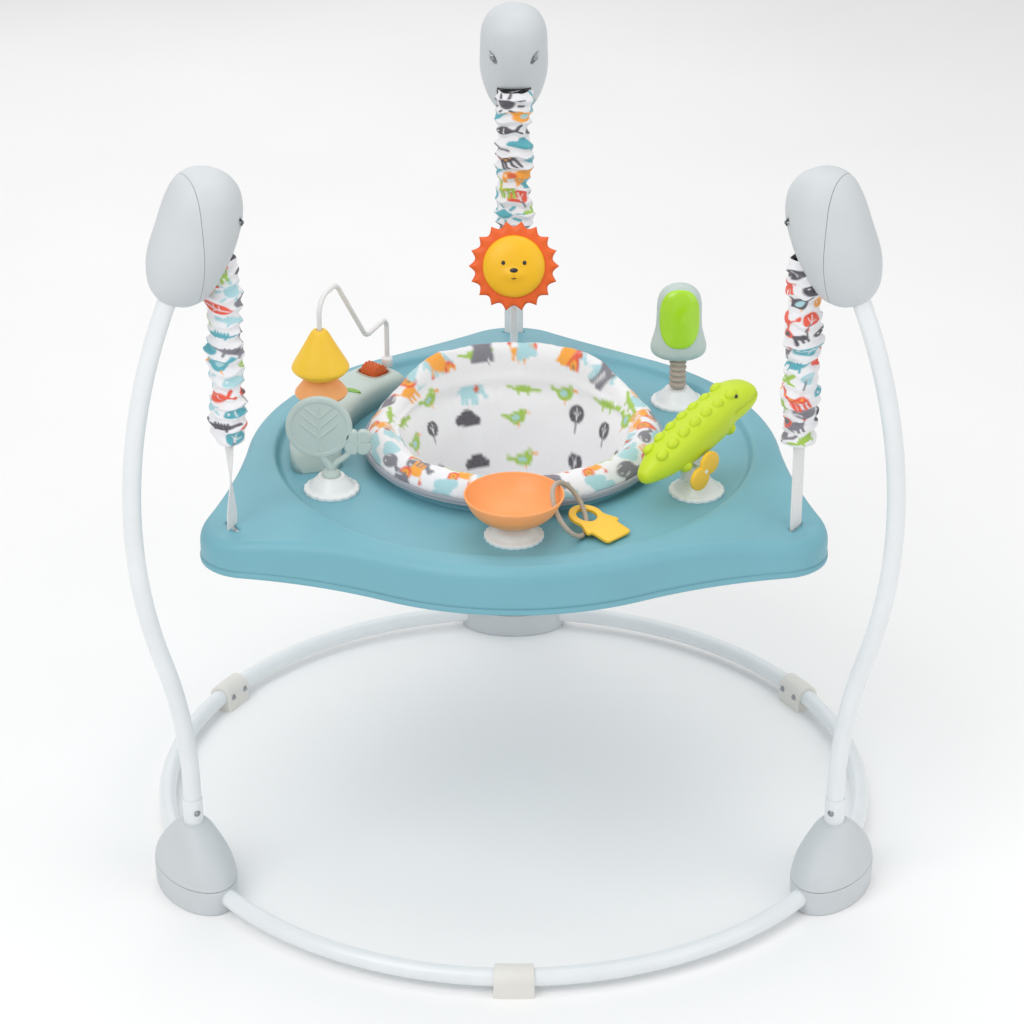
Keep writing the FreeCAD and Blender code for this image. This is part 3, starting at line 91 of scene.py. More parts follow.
class Graph:
    """A material's node tree, built node by node."""

    def __init__(self, name: str) -> None:
        """Start an empty material with its output and shader."""
        self.material = bpy.data.materials.new(name)
        self.material.use_nodes = True
        self.tree = self.material.node_tree
        self.shader = next(n for n in self.tree.nodes if n.type == "BSDF_PRINCIPLED")
        self.place = self.node("ShaderNodeTexCoord").outputs["Object"]

    def node(self, kind: str, settings: Optional[dict] = None, **inputs: object) -> bpy.types.Node:
        """Add a node.

        Args:
            kind: the node's type name.
            settings: attributes of the node itself.
            inputs: values or sockets for its inputs, with _ for a space in a name.

        Returns:
            The new node.
        """
        made = self.tree.nodes.new(kind)
        for key, value in (settings or {}).items():
            setattr(made, key, value)
        for key, value in inputs.items():
            numbered = key[0] == "i" and key[1:].isdigit()
            socket = made.inputs[int(key[1:]) if numbered else key.replace("_", " ")]
            if isinstance(value, bpy.types.NodeSocket):
                self.tree.links.new(value, socket)
            else:
                socket.default_value = value
        return made

    def noise(self, scale: float, detail: float = 3.0,
              where: Optional[bpy.types.NodeSocket] = None) -> bpy.types.NodeSocket:
        """Add a noise pattern and return its strength socket."""
        return self.node("ShaderNodeTexNoise", Vector=where or self.place, Scale=scale,
                         Detail=detail).outputs["Fac"]

    def spread(self, source: bpy.types.NodeSocket, low: float, high: float) -> bpy.types.NodeSocket:
        """Spread a pattern's middle range between two values."""
        return self.node("ShaderNodeMapRange", Value=source, From_Min=0.3, From_Max=0.7,
                         To_Min=low, To_Max=high).outputs["Result"]

    def blend(self, share: bpy.types.NodeSocket, first: object, second: object) -> bpy.types.NodeSocket:
        """Mix two colours, each a socket or a value, by a share."""
        return self.node("ShaderNodeMix", {"data_type": "RGBA"}, Factor=share, i6=first, i7=second).outputs[2]

    def bump(self, height: bpy.types.NodeSocket, strength: float, depth: float,
             under: Optional[bpy.types.NodeSocket] = None) -> bpy.types.NodeSocket:
        """Turn a height pattern into a normal, over another normal if one is given."""
        extra = {"Normal": under} if under is not None else {}
        return self.node("ShaderNodeBump", Height=height, Strength=strength, Distance=depth,
                         **extra).outputs["Normal"]

    def shade(self, **inputs: object) -> bpy.types.Material:
        """Set or link the shader's inputs and return the material."""
        for key, value in inputs.items():
            socket = self.shader.inputs[key.replace("_", " ")]
            if isinstance(value, bpy.types.NodeSocket):
                self.tree.links.new(value, socket)
            else:
                socket.default_value = value
        return self.material


@dataclass(frozen=True)
class Moulded:
    """Moulded or coated surface with a fine grain and a slight drift of tone.

    Attributes:
        name: the finish's name.
        colour: its sRGB colour, 0 to 255.
        roughness: its middle roughness.
        grain: strength of the surface grain.
        grain_scale: how fine the grain is, per metre.
        coat: clear layer on top.
        metallic: 1 for bare metal.
        drift: how far the tone drifts over the surface.
    """

    name: str
    colour: Rgb
    roughness: float = 0.42
    grain: float = 0.12
    grain_scale: float = 1400.0
    coat: float = 0.0
    metallic: float = 0.0
    drift: float = 0.012

    def build(self) -> bpy.types.Material:
        """Build the material."""
        graph = Graph(self.name)
        darker = linear([c * (1 - self.drift) for c in self.colour])
        lighter = linear([min(255, c * (1 + self.drift)) for c in self.colour])
        tone = graph.blend(graph.spread(graph.noise(14.0), 0.0, 1.0), darker, lighter)
        rough = graph.spread(graph.noise(90.0), self.roughness - 0.02, self.roughness + 0.02)
        soft = graph.bump(graph.noise(60.0, 1.0), 0.03, 0.0002)
        relief = graph.bump(graph.noise(self.grain_scale), self.grain, 0.00012, soft)
        return graph.shade(Base_Color=tone, Roughness=rough, Normal=relief, Coat_Weight=self.coat,
                           Metallic=self.metallic)


@dataclass(frozen=True)
class Cloth:
    """Woven cloth whose print is painted on the mesh.

    Attributes:
        name: the finish's name.
        colour: ground colour where nothing is painted.
        threads: threads per metre.
        painted: whether the piece carries a painted print.
    """

    name: str
    colour: Rgb
    threads: float = 900.0
    painted: bool = True

    def build(self) -> bpy.types.Material:
        """Build the material."""
        graph = Graph(self.name)
        base: object = linear(self.colour)
        if self.painted:
            base = graph.node("ShaderNodeAttribute", {"attribute_name": "print"}).outputs["Color"]
        slub = graph.spread(graph.noise(700.0, 2.0), 0.0, 0.16)
        tone = graph.blend(slub, base, linear([c * 0.86 for c in self.colour]))
        warp = graph.node("ShaderNodeTexVoronoi", {"feature": "F1"}, Vector=graph.place,
                          Scale=self.threads).outputs["Distance"]
        crease = graph.bump(graph.noise(45.0, 4.0), 0.25, 0.0012)
        weave = graph.bump(warp, 0.22, 0.0003, crease)
        rough = graph.spread(graph.noise(120.0), 0.78, 0.92)
        return graph.shade(Base_Color=tone, Roughness=rough, Normal=weave, Sheen_Weight=0.25,
                           Sheen_Roughness=0.5)


@dataclass(frozen=True)
class Webbing:
    """Flat woven strap with ribs along its length, on the piece's own UV map."""

    name: str
    colour: Rgb

    def build(self) -> bpy.types.Material:
        """Build the material."""
        graph = Graph(self.name)
        where = graph.node("ShaderNodeUVMap", {"uv_map": "UVMap"}).outputs["UV"]
        ribs = graph.node("ShaderNodeTexWave", {"bands_direction": "X"}, Vector=where, Scale=5.5,
                          Distortion=0.3).outputs["Fac"]
        picks = graph.node("ShaderNodeTexWave", {"bands_direction": "Y"}, Vector=where, Scale=26.0,
                           Distortion=0.6).outputs["Fac"]
        tone = graph.blend(graph.spread(graph.noise(260.0), 0.0, 0.3), linear(self.colour),
                           linear([c * 0.9 for c in self.colour]))
        relief = graph.bump(picks, 0.25, 0.0003, graph.bump(ribs, 0.4, 0.0004))
        return graph.shade(Base_Color=tone, Roughness=graph.spread(ribs, 0.7, 0.85), Normal=relief,
                           Sheen_Weight=0.15)


@dataclass(frozen=True)
class GrooveShadedRope:
    """Beige plastic moulded like twisted rope, with painted shade in its grooves and a painted highlight on its
    crests, both following stripes across the piece's own UV map.
    """

    name: str
    colour: Rgb
    stripes: float

    def build(self) -> bpy.types.Material:
        """Build the material."""
        graph = Graph(self.name)
        where = graph.node("ShaderNodeUVMap", {"uv_map": "UVMap"}).outputs["UV"]
        wave = graph.node("ShaderNodeTexWave", {"bands_direction": "DIAGONAL"}, Vector=where,
                          Scale=self.stripes, Distortion=0.4).outputs["Fac"]
        # painted shade and highlight: the colour is darkened in the rope's grooves and lightened on its crests, by
        # the same wave that makes the bump
        tone = graph.blend(graph.spread(wave, 0.0, 1.0), linear([c * 0.8 for c in self.colour]),
                           linear([min(255, c * 1.1) for c in self.colour]))
        return graph.shade(Base_Color=tone, Roughness=graph.spread(graph.noise(90.0), 0.4, 0.5),
                           Normal=graph.bump(wave, 0.35, 0.0006))


FINISHES = {
    "frame_steel": Moulded("frame_steel", (233, 237, 239), 0.3, 0.05, 700.0, coat=0.25),
    "coupler_plastic": Moulded("coupler_plastic", (229, 227, 221), 0.5, 0.2),
    "grey_plastic": Moulded("grey_plastic", (205, 210, 213), 0.5, 0.22),
    "screw_steel": Moulded("screw_steel", (160, 163, 167), 0.32, 0.1, metallic=1.0),
    "spring_steel": Moulded("spring_steel", (160, 163, 168), 0.35, 0.1, metallic=1.0),
    "sleeve_cloth": Cloth("sleeve_cloth", (240, 240, 243), 1100.0),
    "strap_web": Webbing("strap_web", (238, 238, 238)),
    "seat_grey": Moulded("seat_grey", (164, 166, 174), 0.5, 0.15),
    "tray_teal": Moulded("tray_teal", (117, 176, 190), 0.44, 0.2),
    "base_white": Moulded("base_white", (238, 240, 240), 0.35, 0.06, coat=0.2),
    "toy_sage": Moulded("toy_sage", (194, 209, 203), 0.4, 0.08),
    "wire_white": Moulded("wire_white", (234, 233, 232), 0.35, 0.06, coat=0.3),
    "leaf_green": Moulded("leaf_green", (128, 180, 60), 0.42, 0.1),
    "bowl_peach": Moulded("bowl_peach", (252, 170, 104), 0.42, 0.08),
    "seat_cloth": Cloth("seat_cloth", (242, 242, 245), 1000.0),
    "cone_peach": Moulded("cone_peach", (252, 178, 112), 0.42, 0.08),
    "cone_yellow": Moulded("cone_yellow", (255, 206, 56), 0.42, 0.08),
    "roller_rust": Moulded("roller_rust", (204, 88, 22), 0.45, 0.1),
    "lion_orange": Moulded("lion_orange", (238, 100, 32), 0.42, 0.08),
    "lion_yellow": Moulded("lion_yellow", (250, 192, 24), 0.4, 0.08),
    "neck_beige": Moulded("neck_beige", (186, 172, 158), 0.5, 0.12),
    "panel_green": Moulded("panel_green", (172, 224, 34), 0.25, 0.04, coat=0.6),
    "croc_lime": Moulded("croc_lime", (200, 224, 40), 0.42, 0.08),
    "disc_yellow": Moulded("disc_yellow", (252, 202, 62), 0.42, 0.08),
    "ink": Moulded("ink", (34, 30, 34), 0.35, 0.05, coat=0.4),
    "rope_beige": GrooveShadedRope("rope_beige", (196, 182, 166), 24.0),
}
MADE: dict[str, bpy.types.Material] = {}


def finish(name: str) -> bpy.types.Material:
    """Return a finish's material, built once."""
    if name not in MADE:
        MADE[name] = FINISHES[name].build()
    return MADE[name]


# ---------------------------------------------------------------- shapes


def turn_z(points: np.ndarray, degrees: float) -> np.ndarray:
    """Turn points about the vertical axis."""
    a = math.radians(degrees)
    return points @ np.array([[math.cos(a), -math.sin(a), 0], [math.sin(a), math.cos(a), 0], [0, 0, 1]]).T


def turn_x(points: np.ndarray, degrees: float) -> np.ndarray:
    """Turn points about the X axis."""
    a = math.radians(degrees)
    return points @ np.array([[1, 0, 0], [0, math.cos(a), -math.sin(a)], [0, math.sin(a), math.cos(a)]]).T


def turn_y(points: np.ndarray, degrees: float) -> np.ndarray:
    """Turn points about the Y axis."""
    a = math.radians(degrees)
    return points @ np.array([[math.cos(a), 0, math.sin(a)], [0, 1, 0], [-math.sin(a), 0, math.cos(a)]]).T


def piece(name: str, points: np.ndarray, faces: list, uv: Optional[list] = None,
          tidy: bool = True) -> bpy.types.Object:
    """Make a smooth mesh piece from points in millimetres.

    Args:
        name: the piece's name.
        points: vertices, in millimetres in the row frame.
        faces: lists of vertex numbers.
        uv: a pair for each face corner, in order.
        tidy: whether to merge doubles and point the faces outwards.

    Returns:
        The new object.
    """
    mesh = bpy.data.meshes.new(name)
    mesh.from_pydata((np.asarray(points) * MM).tolist(), [], faces)
    if uv is not None:
        layer = mesh.uv_layers.new(name="UVMap")
        layer.data.foreach_set("uv", np.asarray(uv, np.float32).ravel())
    if tidy:
        work = bmesh.new()
        work.from_mesh(mesh)
        bmesh.ops.remove_doubles(work, verts=work.verts, dist=1e-6)
        bmesh.ops.recalc_face_normals(work, faces=work.faces)
        work.to_mesh(mesh)
        work.free()
    made = bpy.data.objects.new(name, mesh)
    bpy.context.scene.collection.objects.link(made)
    mesh.shade_smooth()
    return made


def skin(name: str, rings: np.ndarray, around: bool = True, capped: bool = True,
         tidy: bool = True) -> bpy.types.Object:
    """Skin a grid of rings.

    Args:
        name: the piece's name.
        rings: points as rows, columns, 3, in millimetres.
        around: whether the last column joins the first.
        capped: whether the first and last rows are closed.
        tidy: whether doubles are merged and normals turned outwards.

    Returns:
        The new object, with a UV map of column and row shares.
    """
    rows, columns, _ = rings.shape
    faces, uv = [], []
    span = columns if around else columns - 1
    for row in range(rows - 1):
        for column in range(span):
            after = (column + 1) % columns
            faces.append((row * columns + column, row * columns + after, (row + 1) * columns + after,
                          (row + 1) * columns + column))
            left, right = column / span, (column + 1) / span
            low, high = row / (rows - 1), (row + 1) / (rows - 1)
            uv += [(left, low), (right, low), (right, high), (left, high)]
    points = rings.reshape(-1, 3)
    if capped:
        ends = np.array([rings[0].mean(0), rings[-1].mean(0)])
        points = np.concatenate([points, ends])
        for column in range(columns):
            after = (column + 1) % columns
            faces.append((after, column, rows * columns))
            faces.append(((rows - 1) * columns + column, (rows - 1) * columns + after, rows * columns + 1))
            uv += [(0.0, 0.0)] * 6
    return piece(name, points, faces, uv, tidy)


def lathe(name: str, profile: Sequence[tuple[float, float]], centre: Sequence[float], steps: int = 96,
          closed: bool = False, shape: Optional[Callable[[np.ndarray],
                                                         np.ndarray]] = None) -> bpy.types.Object:
    """Turn a profile of radius and height about a vertical axis.

    Args:
        name: the piece's name.
        profile: radius and height pairs, in millimetres.
        centre: the axis's foot, in millimetres.
        steps: columns around.
        closed: whether the profile joins its own start.
        shape: an optional change to the points before they are moved to the centre.

    Returns:
        The new object.
    """
    line = list(profile) + ([profile[0]] if closed else [])
    around = np.arange(steps) * 2 * np.pi / steps
    rings = np.array([[(r * math.cos(a), r * math.sin(a), z) for a in around] for r, z in line])
    if shape is not None:
        rings = shape(rings)
    return skin(name, rings + np.array(centre), capped=False)


def rounded(corners: Sequence[tuple[float, float, float]], steps: int = 6) -> list[tuple[float, float]]:
    """Round an open profile's corners.

    Args:
        corners: radius, height and corner radius of each corner.
        steps: points along each rounded corner.

    Returns:
        The profile as radius and height pairs.
    """
    line = [corners[0][:2]]
    for before, here, after in zip(corners, corners[1:], corners[2:]):
        a, p, b = (np.array(c[:2], float) for c in (before, here, after))
        reach = min(here[2], np.linalg.norm(a - p) * 0.49, np.linalg.norm(b - p) * 0.49)
        if reach < 1e-6:
            line.append(tuple(p))
            continue
        start = p + (a - p) / np.linalg.norm(a - p) * reach
        last = p + (b - p) / np.linalg.norm(b - p) * reach
        for t in np.linspace(0, 1, steps):
            line.append(tuple((1 - t) ** 2 * start + 2 * t * (1 - t) * p + t * t * last))
    line.append(corners[-1][:2])
    return line


def smooth_line(points: Sequence[Sequence[float]], count: int) -> np.ndarray:
    """Pass an even smooth line through points by Catmull-Rom spans.

    Args:
        points: points of any width, one row each.
        count: number of points wanted.

    Returns:
        The line's points.
    """
    p = np.asarray(points, float)
    p = np.concatenate([[2 * p[0] - p[1]], p, [2 * p[-1] - p[-2]]])
    spans = len(p) - 3
    out = []
    for t in np.linspace(0, spans - 1e-9, count):
        i, f = int(t), t - int(t)
        a, b, c, d = p[i:i + 4]
        out.append(0.5 * (2 * b + (c - a) * f + (2 * a - 5 * b + 4 * c - d) * f * f +
                          (3 * b - a - 3 * c + d) * f ** 3))
    return np.array(out)


def sweep(name: str, line: np.ndarray, wide: object, deep: object, aside: Sequence[float], steps: int = 24,
          square: float = 2.0, capped: bool = True, twist: object = 0.0) -> bpy.types.Object:
    """Sweep an oval section along a line.

    Args:
        name: the piece's name.
        line: the centre line's points, in millimetres.
        wide: half width at each point, along the aside direction.
        deep: half depth at each point.
        aside: the direction that the section's width lies along.
        steps: columns around.
        square: 2 for an oval, more for a squarer section.
        capped: whether the ends are closed.
        twist: turn of the section at each point, in degrees.

    Returns:
        The new object.
    """
    count = len(line)
    wide, deep, twist = (np.broadcast_to(np.asarray(v, float), (count,)) for v in (wide, deep, twist))
    along = np.gradient(line, axis=0)
    along /= np.linalg.norm(along, axis=1)[:, None]
    side = np.asarray(aside, float) - (along @ np.asarray(aside, float))[:, None] * along
    side /= np.linalg.norm(side, axis=1)[:, None]
    other = np.cross(along, side)
    a = np.arange(steps) * 2 * np.pi / steps
    u = np.sign(np.cos(a)) * np.abs(np.cos(a)) ** (2 / square)
    v = np.sign(np.sin(a)) * np.abs(np.sin(a)) ** (2 / square)
    t = np.radians(twist)
    one = side * np.cos(t)[:, None] + other * np.sin(t)[:, None]
    two = other * np.cos(t)[:, None] - side * np.sin(t)[:, None]
    across = (wide[:, None] * u)[..., None] * one[:, None]
    through = (deep[:, None] * v)[..., None] * two[:, None]
    rings = line[:, None] + across + through
    return skin(name, rings, capped=capped)


def ball_ends(count: int, full: float, start: float = 0.12, end: float = 0.12) -> np.ndarray:
    """Give radii that round off at both ends of a sweep.

    Args:
        count: number of points along the sweep.
        full: the middle radius.
        start: share of the length that the first end rounds over.
        end: share of the length that the last end rounds over.

    Returns:
        The radii.
    """
    t = np.linspace(0, 1, count)
    head = np.sqrt(np.clip(1 - (1 - np.clip(t / start, 0, 1)) ** 2, 0.0004, 1))
    tail = np.sqrt(np.clip(1 - (1 - np.clip((1 - t) / end, 0, 1)) ** 2, 0.0004, 1))
    return full * head * tail


def dress(obj: bpy.types.Object, body: str, slot: str, *nodes: str,
          look: Optional[str] = None) -> bpy.types.Object:
    """Give a piece its finish, body and CAD nodes.

    Args:
        obj: the piece.
        body: the CAD body it rides on.
        slot: the record's material slot.
        nodes: CAD nodes that it stands for.
        look: the finish, where it isn't the slot's own.

    Returns:
        The same piece.
    """
    obj.data.materials.clear()
    obj.data.materials.append(finish(look or slot))
    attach(obj, body)
    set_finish(obj, slot)
    if nodes:
        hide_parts(*nodes)
    LOG.info("piece %s on %s, %d faces", obj.name, body, len(obj.data.polygons))
    return obj


def join(name: str, pieces: Sequence[bpy.types.Object]) -> bpy.types.Object:
    """Join pieces into one mesh under a name."""
    work = bmesh.new()
    for item in pieces:
        work.from_mesh(item.data)
    mesh = bpy.data.meshes.new(name)
    work.to_mesh(mesh)
    work.free()
    for item in pieces:
        bpy.data.objects.remove(item)
    made = bpy.data.objects.new(name, mesh)
    bpy.context.scene.collection.objects.link(made)
    mesh.shade_smooth()
    return made


def carve(obj: bpy.types.Object, cutters: Sequence[bpy.types.Object]) -> bpy.types.Object:
    """Cut closed pieces out of a piece and remove them."""
    for cutter in cutters:
        step = obj.modifiers.new("cut", "BOOLEAN")
        step.operation, step.object, step.solver = "DIFFERENCE", cutter, "EXACT"
    mesh = bpy.data.meshes.new_from_object(obj.evaluated_get(bpy.context.evaluated_depsgraph_get()))
    obj.modifiers.clear()
    obj.data = mesh
    for cutter in cutters:
        bpy.data.objects.remove(cutter)
    return obj


def bar(name: str, start: Sequence[float], end: Sequence[float], radius: float,
        steps: int = 24) -> bpy.types.Object:
    """Make a plain round bar between two points, as a cutter or pin."""
    line = np.linspace(start, end, 2)
    direction = np.asarray(end, float) - np.asarray(start, float)
    aside = (0, 0, 1) if abs(direction[2]) < 0.8 * np.linalg.norm(direction) else (1, 0, 0)
    return sweep(name, line, radius, radius, aside, steps)


# ---------------------------------------------------------------- repeated studs by Geometry Nodes


class Studs:
    """Studs, bumps or stitches: one stretched ball on each point of a small cloud, by Geometry Nodes."""

    def __init__(self, name: str, look: str) -> None:
        """Build the node tree with named inputs for the stud's three sizes."""
        self.name = name
        tree = bpy.data.node_groups.new(name, "GeometryNodeTree")
        face = tree.interface
        face.new_socket("Geometry", in_out="INPUT", socket_type="NodeSocketGeometry")
        self.sizes = [face.new_socket(n, in_out="INPUT", socket_type="NodeSocketFloat").identifier
                      for n in ("Length", "Width", "Height")]
        face.new_socket("Geometry", in_out="OUTPUT", socket_type="NodeSocketGeometry")
        kinds = {"start": "NodeGroupInput", "end": "NodeGroupOutput", "ball": "GeometryNodeMeshIcoSphere",
                 "out": "GeometryNodeInputNamedAttribute", "along": "GeometryNodeInputNamedAttribute",
                 "lift": "FunctionNodeAlignRotationToVector", "swing": "FunctionNodeAlignRotationToVector",
                 "size": "ShaderNodeCombineXYZ", "copy": "GeometryNodeInstanceOnPoints",
                 "real": "GeometryNodeRealizeInstances", "soft": "GeometryNodeSetShadeSmooth",
                 "paint": "GeometryNodeSetMaterial"}
        n = {key: tree.nodes.new(kind) for key, kind in kinds.items()}
        n["ball"].inputs["Subdivisions"].default_value = 3
        n["ball"].inputs["Radius"].default_value = 1.0
        for key in ("out", "along"):
            n[key].data_type = "FLOAT_VECTOR"
            n[key].inputs["Name"].default_value = key
        n["lift"].axis, n["swing"].axis, n["swing"].pivot_axis = "Z", "X", "Z"
        n["paint"].inputs["Material"].default_value = finish(look)
        link = tree.links.new
        for index, axis in enumerate("XYZ"):
            link(n["start"].outputs[index + 1], n["size"].inputs[axis])
        link(n["out"].outputs["Attribute"], n["lift"].inputs["Vector"])
        link(n["lift"].outputs["Rotation"], n["swing"].inputs["Rotation"])
        link(n["along"].outputs["Attribute"], n["swing"].inputs["Vector"])
        link(n["start"].outputs[0], n["copy"].inputs["Points"])
        link(n["ball"].outputs["Mesh"], n["copy"].inputs["Instance"])
        link(n["swing"].outputs["Rotation"], n["copy"].inputs["Rotation"])
        link(n["size"].outputs["Vector"], n["copy"].inputs["Scale"])
        link(n["copy"].outputs["Instances"], n["real"].inputs["Geometry"])
        link(n["real"].outputs["Geometry"], n["soft"].inputs["Geometry"])
        link(n["soft"].outputs["Geometry"], n["paint"].inputs["Geometry"])
        link(n["paint"].outputs["Geometry"], n["end"].inputs[0])
        self.tree = tree

    def place(self, name: str, points: np.ndarray, out: np.ndarray, along: np.ndarray,
              size: Sequence[float]) -> bpy.types.Object:
        """Put one stud on each point.

        Args:
            name: the piece's name.
            points: places in millimetres.
            out: the way each stud stands.
            along: the way each stud's length lies.
            size: half length, half width and half height, in millimetres.

        Returns:
            A plain mesh of all the studs.
        """
        cloud = bpy.data.meshes.new(name)
        cloud.from_pydata((np.asarray(points) * MM).tolist(), [], [])
        for key, ways in (("out", out), ("along", along)):
            layer = cloud.attributes.new(key, "FLOAT_VECTOR", "POINT")
            layer.data.foreach_set("vector", np.broadcast_to(np.asarray(ways, np.float32),
                                                             (len(points), 3)).ravel())
        made = bpy.data.objects.new(name, cloud)
        bpy.context.scene.collection.objects.link(made)
        step = made.modifiers.new("studs", "NODES")
        step.node_group = self.tree
        for key, value in zip(self.sizes, size):
            step[key] = float(value * MM)
        mesh = bpy.data.meshes.new_from_object(made.evaluated_get(bpy.context.evaluated_depsgraph_get()))
        made.modifiers.clear()
        made.data = mesh
        return made


# ---------------------------------------------------------------- the cloth's print


class Motif(Enum):
    """What is printed on the cloth."""

    ELEPHANT = "elephant"
    WHALE = "whale"
    LION = "lion"
    GIRAFFE = "giraffe"
    BIRD = "bird"
    FISH = "fish"
    CROC = "croc"
    CLOUD = "cloud"
    LEAF = "leaf"
    SUN = "sun"
    TREE = "tree"


INKS = {
    "red": (236, 78, 42), "amber": (252, 166, 28), "teal": (74, 170, 184), "aqua": (172, 217, 224),
    "lime": (160, 200, 62), "charcoal": (72, 68, 78), "grey": (122, 120, 130), "white": (242, 242, 245),
    "rust": (214, 84, 30),
}
# Each mark is an ink (None for the motif's own), then a disc (x, y, half width, half height) or a
# stroke (x, y, x, y, half thickness), on a field from -1 to 1.
LEGS = [(None, (x, -0.25, x, -0.62, 0.1)) for x in (-0.4, -0.15, 0.2, 0.42)]
MARKS: dict[Motif, list] = {
    Motif.ELEPHANT: [(None, (-0.05, 0.05, 0.58, 0.4)), (None, (0.55, 0.22, 0.3, 0.3)),
                     (None, (0.8, 0.12, 0.95, -0.25, 0.1)), (None, (0.95, -0.25, 1.08, -0.2, 0.07)),
                     (None, (-0.6, 0.15, -0.78, -0.1, 0.05)), *LEGS, ("rust", (0.42, 0.22, 0.16, 0.2)),
                     ("white", (0.66, 0.3, 0.05, 0.05))],
    Motif.WHALE: [(None, (0.05, 0, 0.72, 0.44)), (None, (-0.55, 0.05, -0.9, 0.42, 0.12)),
                  (None, (-0.8, 0.35, -1.05, 0.3, 0.1)), ("white", (0.45, 0.12, 0.06, 0.06)),
                  ("white", (0.2, -0.3, 0.62, -0.22, 0.03))],
    Motif.LION: [(None, (-0.2, -0.15, 0.5, 0.28)), (None, (-0.5, -0.3, -0.5, -0.65, 0.09)),
                 (None, (-0.2, -0.3, -0.2, -0.65, 0.09)), (None, (0.15, -0.3, 0.15, -0.65, 0.09)),
                 (None, (-0.65, -0.1, -0.85, 0.25, 0.05)), ("red", (-0.87, 0.3, 0.12, 0.12)),
                 ("red", (0.38, 0.25, 0.42, 0.42)), (None, (0.38, 0.25, 0.27, 0.27)),
                 ("charcoal", (0.28, 0.32, 0.04, 0.04)), ("charcoal", (0.48, 0.32, 0.04, 0.04)),
                 ("charcoal", (0.38, 0.2, 0.06, 0.04))],
    Motif.GIRAFFE: [(None, (-0.12, -0.2, 0.42, 0.22)), (None, (0.2, -0.15, 0.42, 0.7, 0.1)),
                    (None, (0.55, 0.78, 0.22, 0.12)), (None, (0.42, 0.85, 0.38, 1.0, 0.04)),
                    *[(None, (x, -0.25, x, -0.92, 0.07)) for x in (-0.42, -0.2, 0.08, 0.24)],
                    ("amber", (-0.3, -0.15, 0.07, 0.06)), ("amber", (-0.05, -0.25, 0.08, 0.06)),
                    ("amber", (0.14, -0.1, 0.07, 0.06)), ("amber", (0.3, 0.25, 0.06, 0.08))],
    Motif.BIRD: [(None, (0, 0, 0.52, 0.4)), (None, (-0.35, 0.05, -0.85, 0.28, 0.12)),
                 (None, (0.4, 0.3, 0.27, 0.25)),
                 ("amber", (0.62, 0.32, 0.85, 0.25, 0.06)), ("aqua", (-0.08, 0.02, 0.26, 0.18)),
                 ("white", (0.45, 0.36, 0.05, 0.05)), ("amber", (0.05, -0.35, 0.05, -0.6, 0.04))],
    Motif.FISH: [(None, (0.1, 0, 0.6, 0.36)), (None, (-0.45, 0, -0.8, 0.3, 0.11)),
                 (None, (-0.45, 0, -0.8, -0.3, 0.11)),
                 ("white", (0.4, 0.08, 0.06, 0.06)), ("white", (0.05, -0.2, 0.05, 0.2, 0.03))],
    Motif.CROC: [(None, (-0.05, 0, 0.7, 0.2)), (None, (0.5, 0.02, 1.05, 0.0, 0.12)),
                 (None, (-0.6, 0, -1.1, 0.16, 0.08)),
                 *[(None, (x, -0.1, x + 0.06, -0.35, 0.07)) for x in (-0.4, 0.25)],
                 *[(None, (x, 0.2, 0.07, 0.08)) for x in (-0.45, -0.25, -0.05, 0.15, 0.35)],
                 ("white", (0.62, 0.1, 0.05, 0.05))],
    Motif.CLOUD: [(None, (-0.42, -0.05, 0.34, 0.3)), (None, (0, 0.15, 0.46, 0.42)),
                  (None, (0.45, -0.03, 0.34, 0.3)), (None, (0, -0.15, 0.7, 0.22))],
    Motif.LEAF: [(None, (0, 0, 0.85, 0.34)), ("white", (-0.7, 0, 0.65, 0, 0.03)),
                 ("white", (-0.2, 0, -0.05, 0.2, 0.02)),
                 ("white", (0.15, 0, 0.3, 0.18, 0.02)), ("white", (0, 0, 0.12, -0.2, 0.02))],
    Motif.SUN: [(None, (0, 0, 0.4, 0.4)), *[(None,
                                             (0.55 * math.cos(a), 0.55 * math.sin(a), 0.8 * math.cos(a),
                                              0.8 * math.sin(a), 0.07))
                                            for a in np.arange(8) * math.pi / 4]],
    Motif.TREE: [(None, (0, 0.25, 0.5, 0.5)), ("grey", (0, -0.7, 0, 0.1, 0.06)),
                 ("white", (0, 0.0, 0, 0.55, 0.03)),
                 ("white", (0, 0.15, 0.22, 0.35, 0.02)), ("white", (0, 0.15, -0.22, 0.35, 0.02))],
}


def print_motif(colours: np.ndarray, u: np.ndarray, v: np.ndarray, motif: Motif, ink: str,
                soft: float = 0.03) -> None:
    """Paint a motif over colours.

    Args:
        colours: linear colours, changed in place.
        u: each vertex's place across the motif, from -1 to 1.
        v: each vertex's place up the motif.
        motif: what to print.
        ink: its main ink.
        soft: width of the edge's blend.
    """
    near = np.nonzero((np.abs(u) < 1.25) & (np.abs(v) < 1.15))[0]
    if len(near) == 0:
        return
    x, y = u[near], v[near]
    for own, mark in MARKS[motif]:
        if len(mark) == 4:
            reach = np.hypot((x - mark[0]) / mark[2], (y - mark[1]) / mark[3])
            inside = (1 - reach) * min(mark[2], mark[3])
        else:
            start, way = np.array(mark[:2]), np.array(mark[2:4]) - np.array(mark[:2])
            t = np.clip(((x - start[0]) * way[0] + (y - start[1]) * way[1]) / max(way @ way, 1e-9), 0, 1)
            inside = mark[4] - np.hypot(x - start[0] - t * way[0], y - start[1] - t * way[1])
        share = np.clip(inside / soft + 0.5, 0, 1)[:, None]
        colours[near] = colours[near] * (1 - share) + np.array(linear(INKS[own or ink])) * share


def store_print(obj: bpy.types.Object, colours: np.ndarray) -> None:
    """Keep painted colours on a piece's vertices."""
    layer = obj.data.color_attributes.new("print", "FLOAT_COLOR", "POINT")
    layer.data.foreach_set("color", colours.astype(np.float32).ravel())


# ---------------------------------------------------------------- the frame


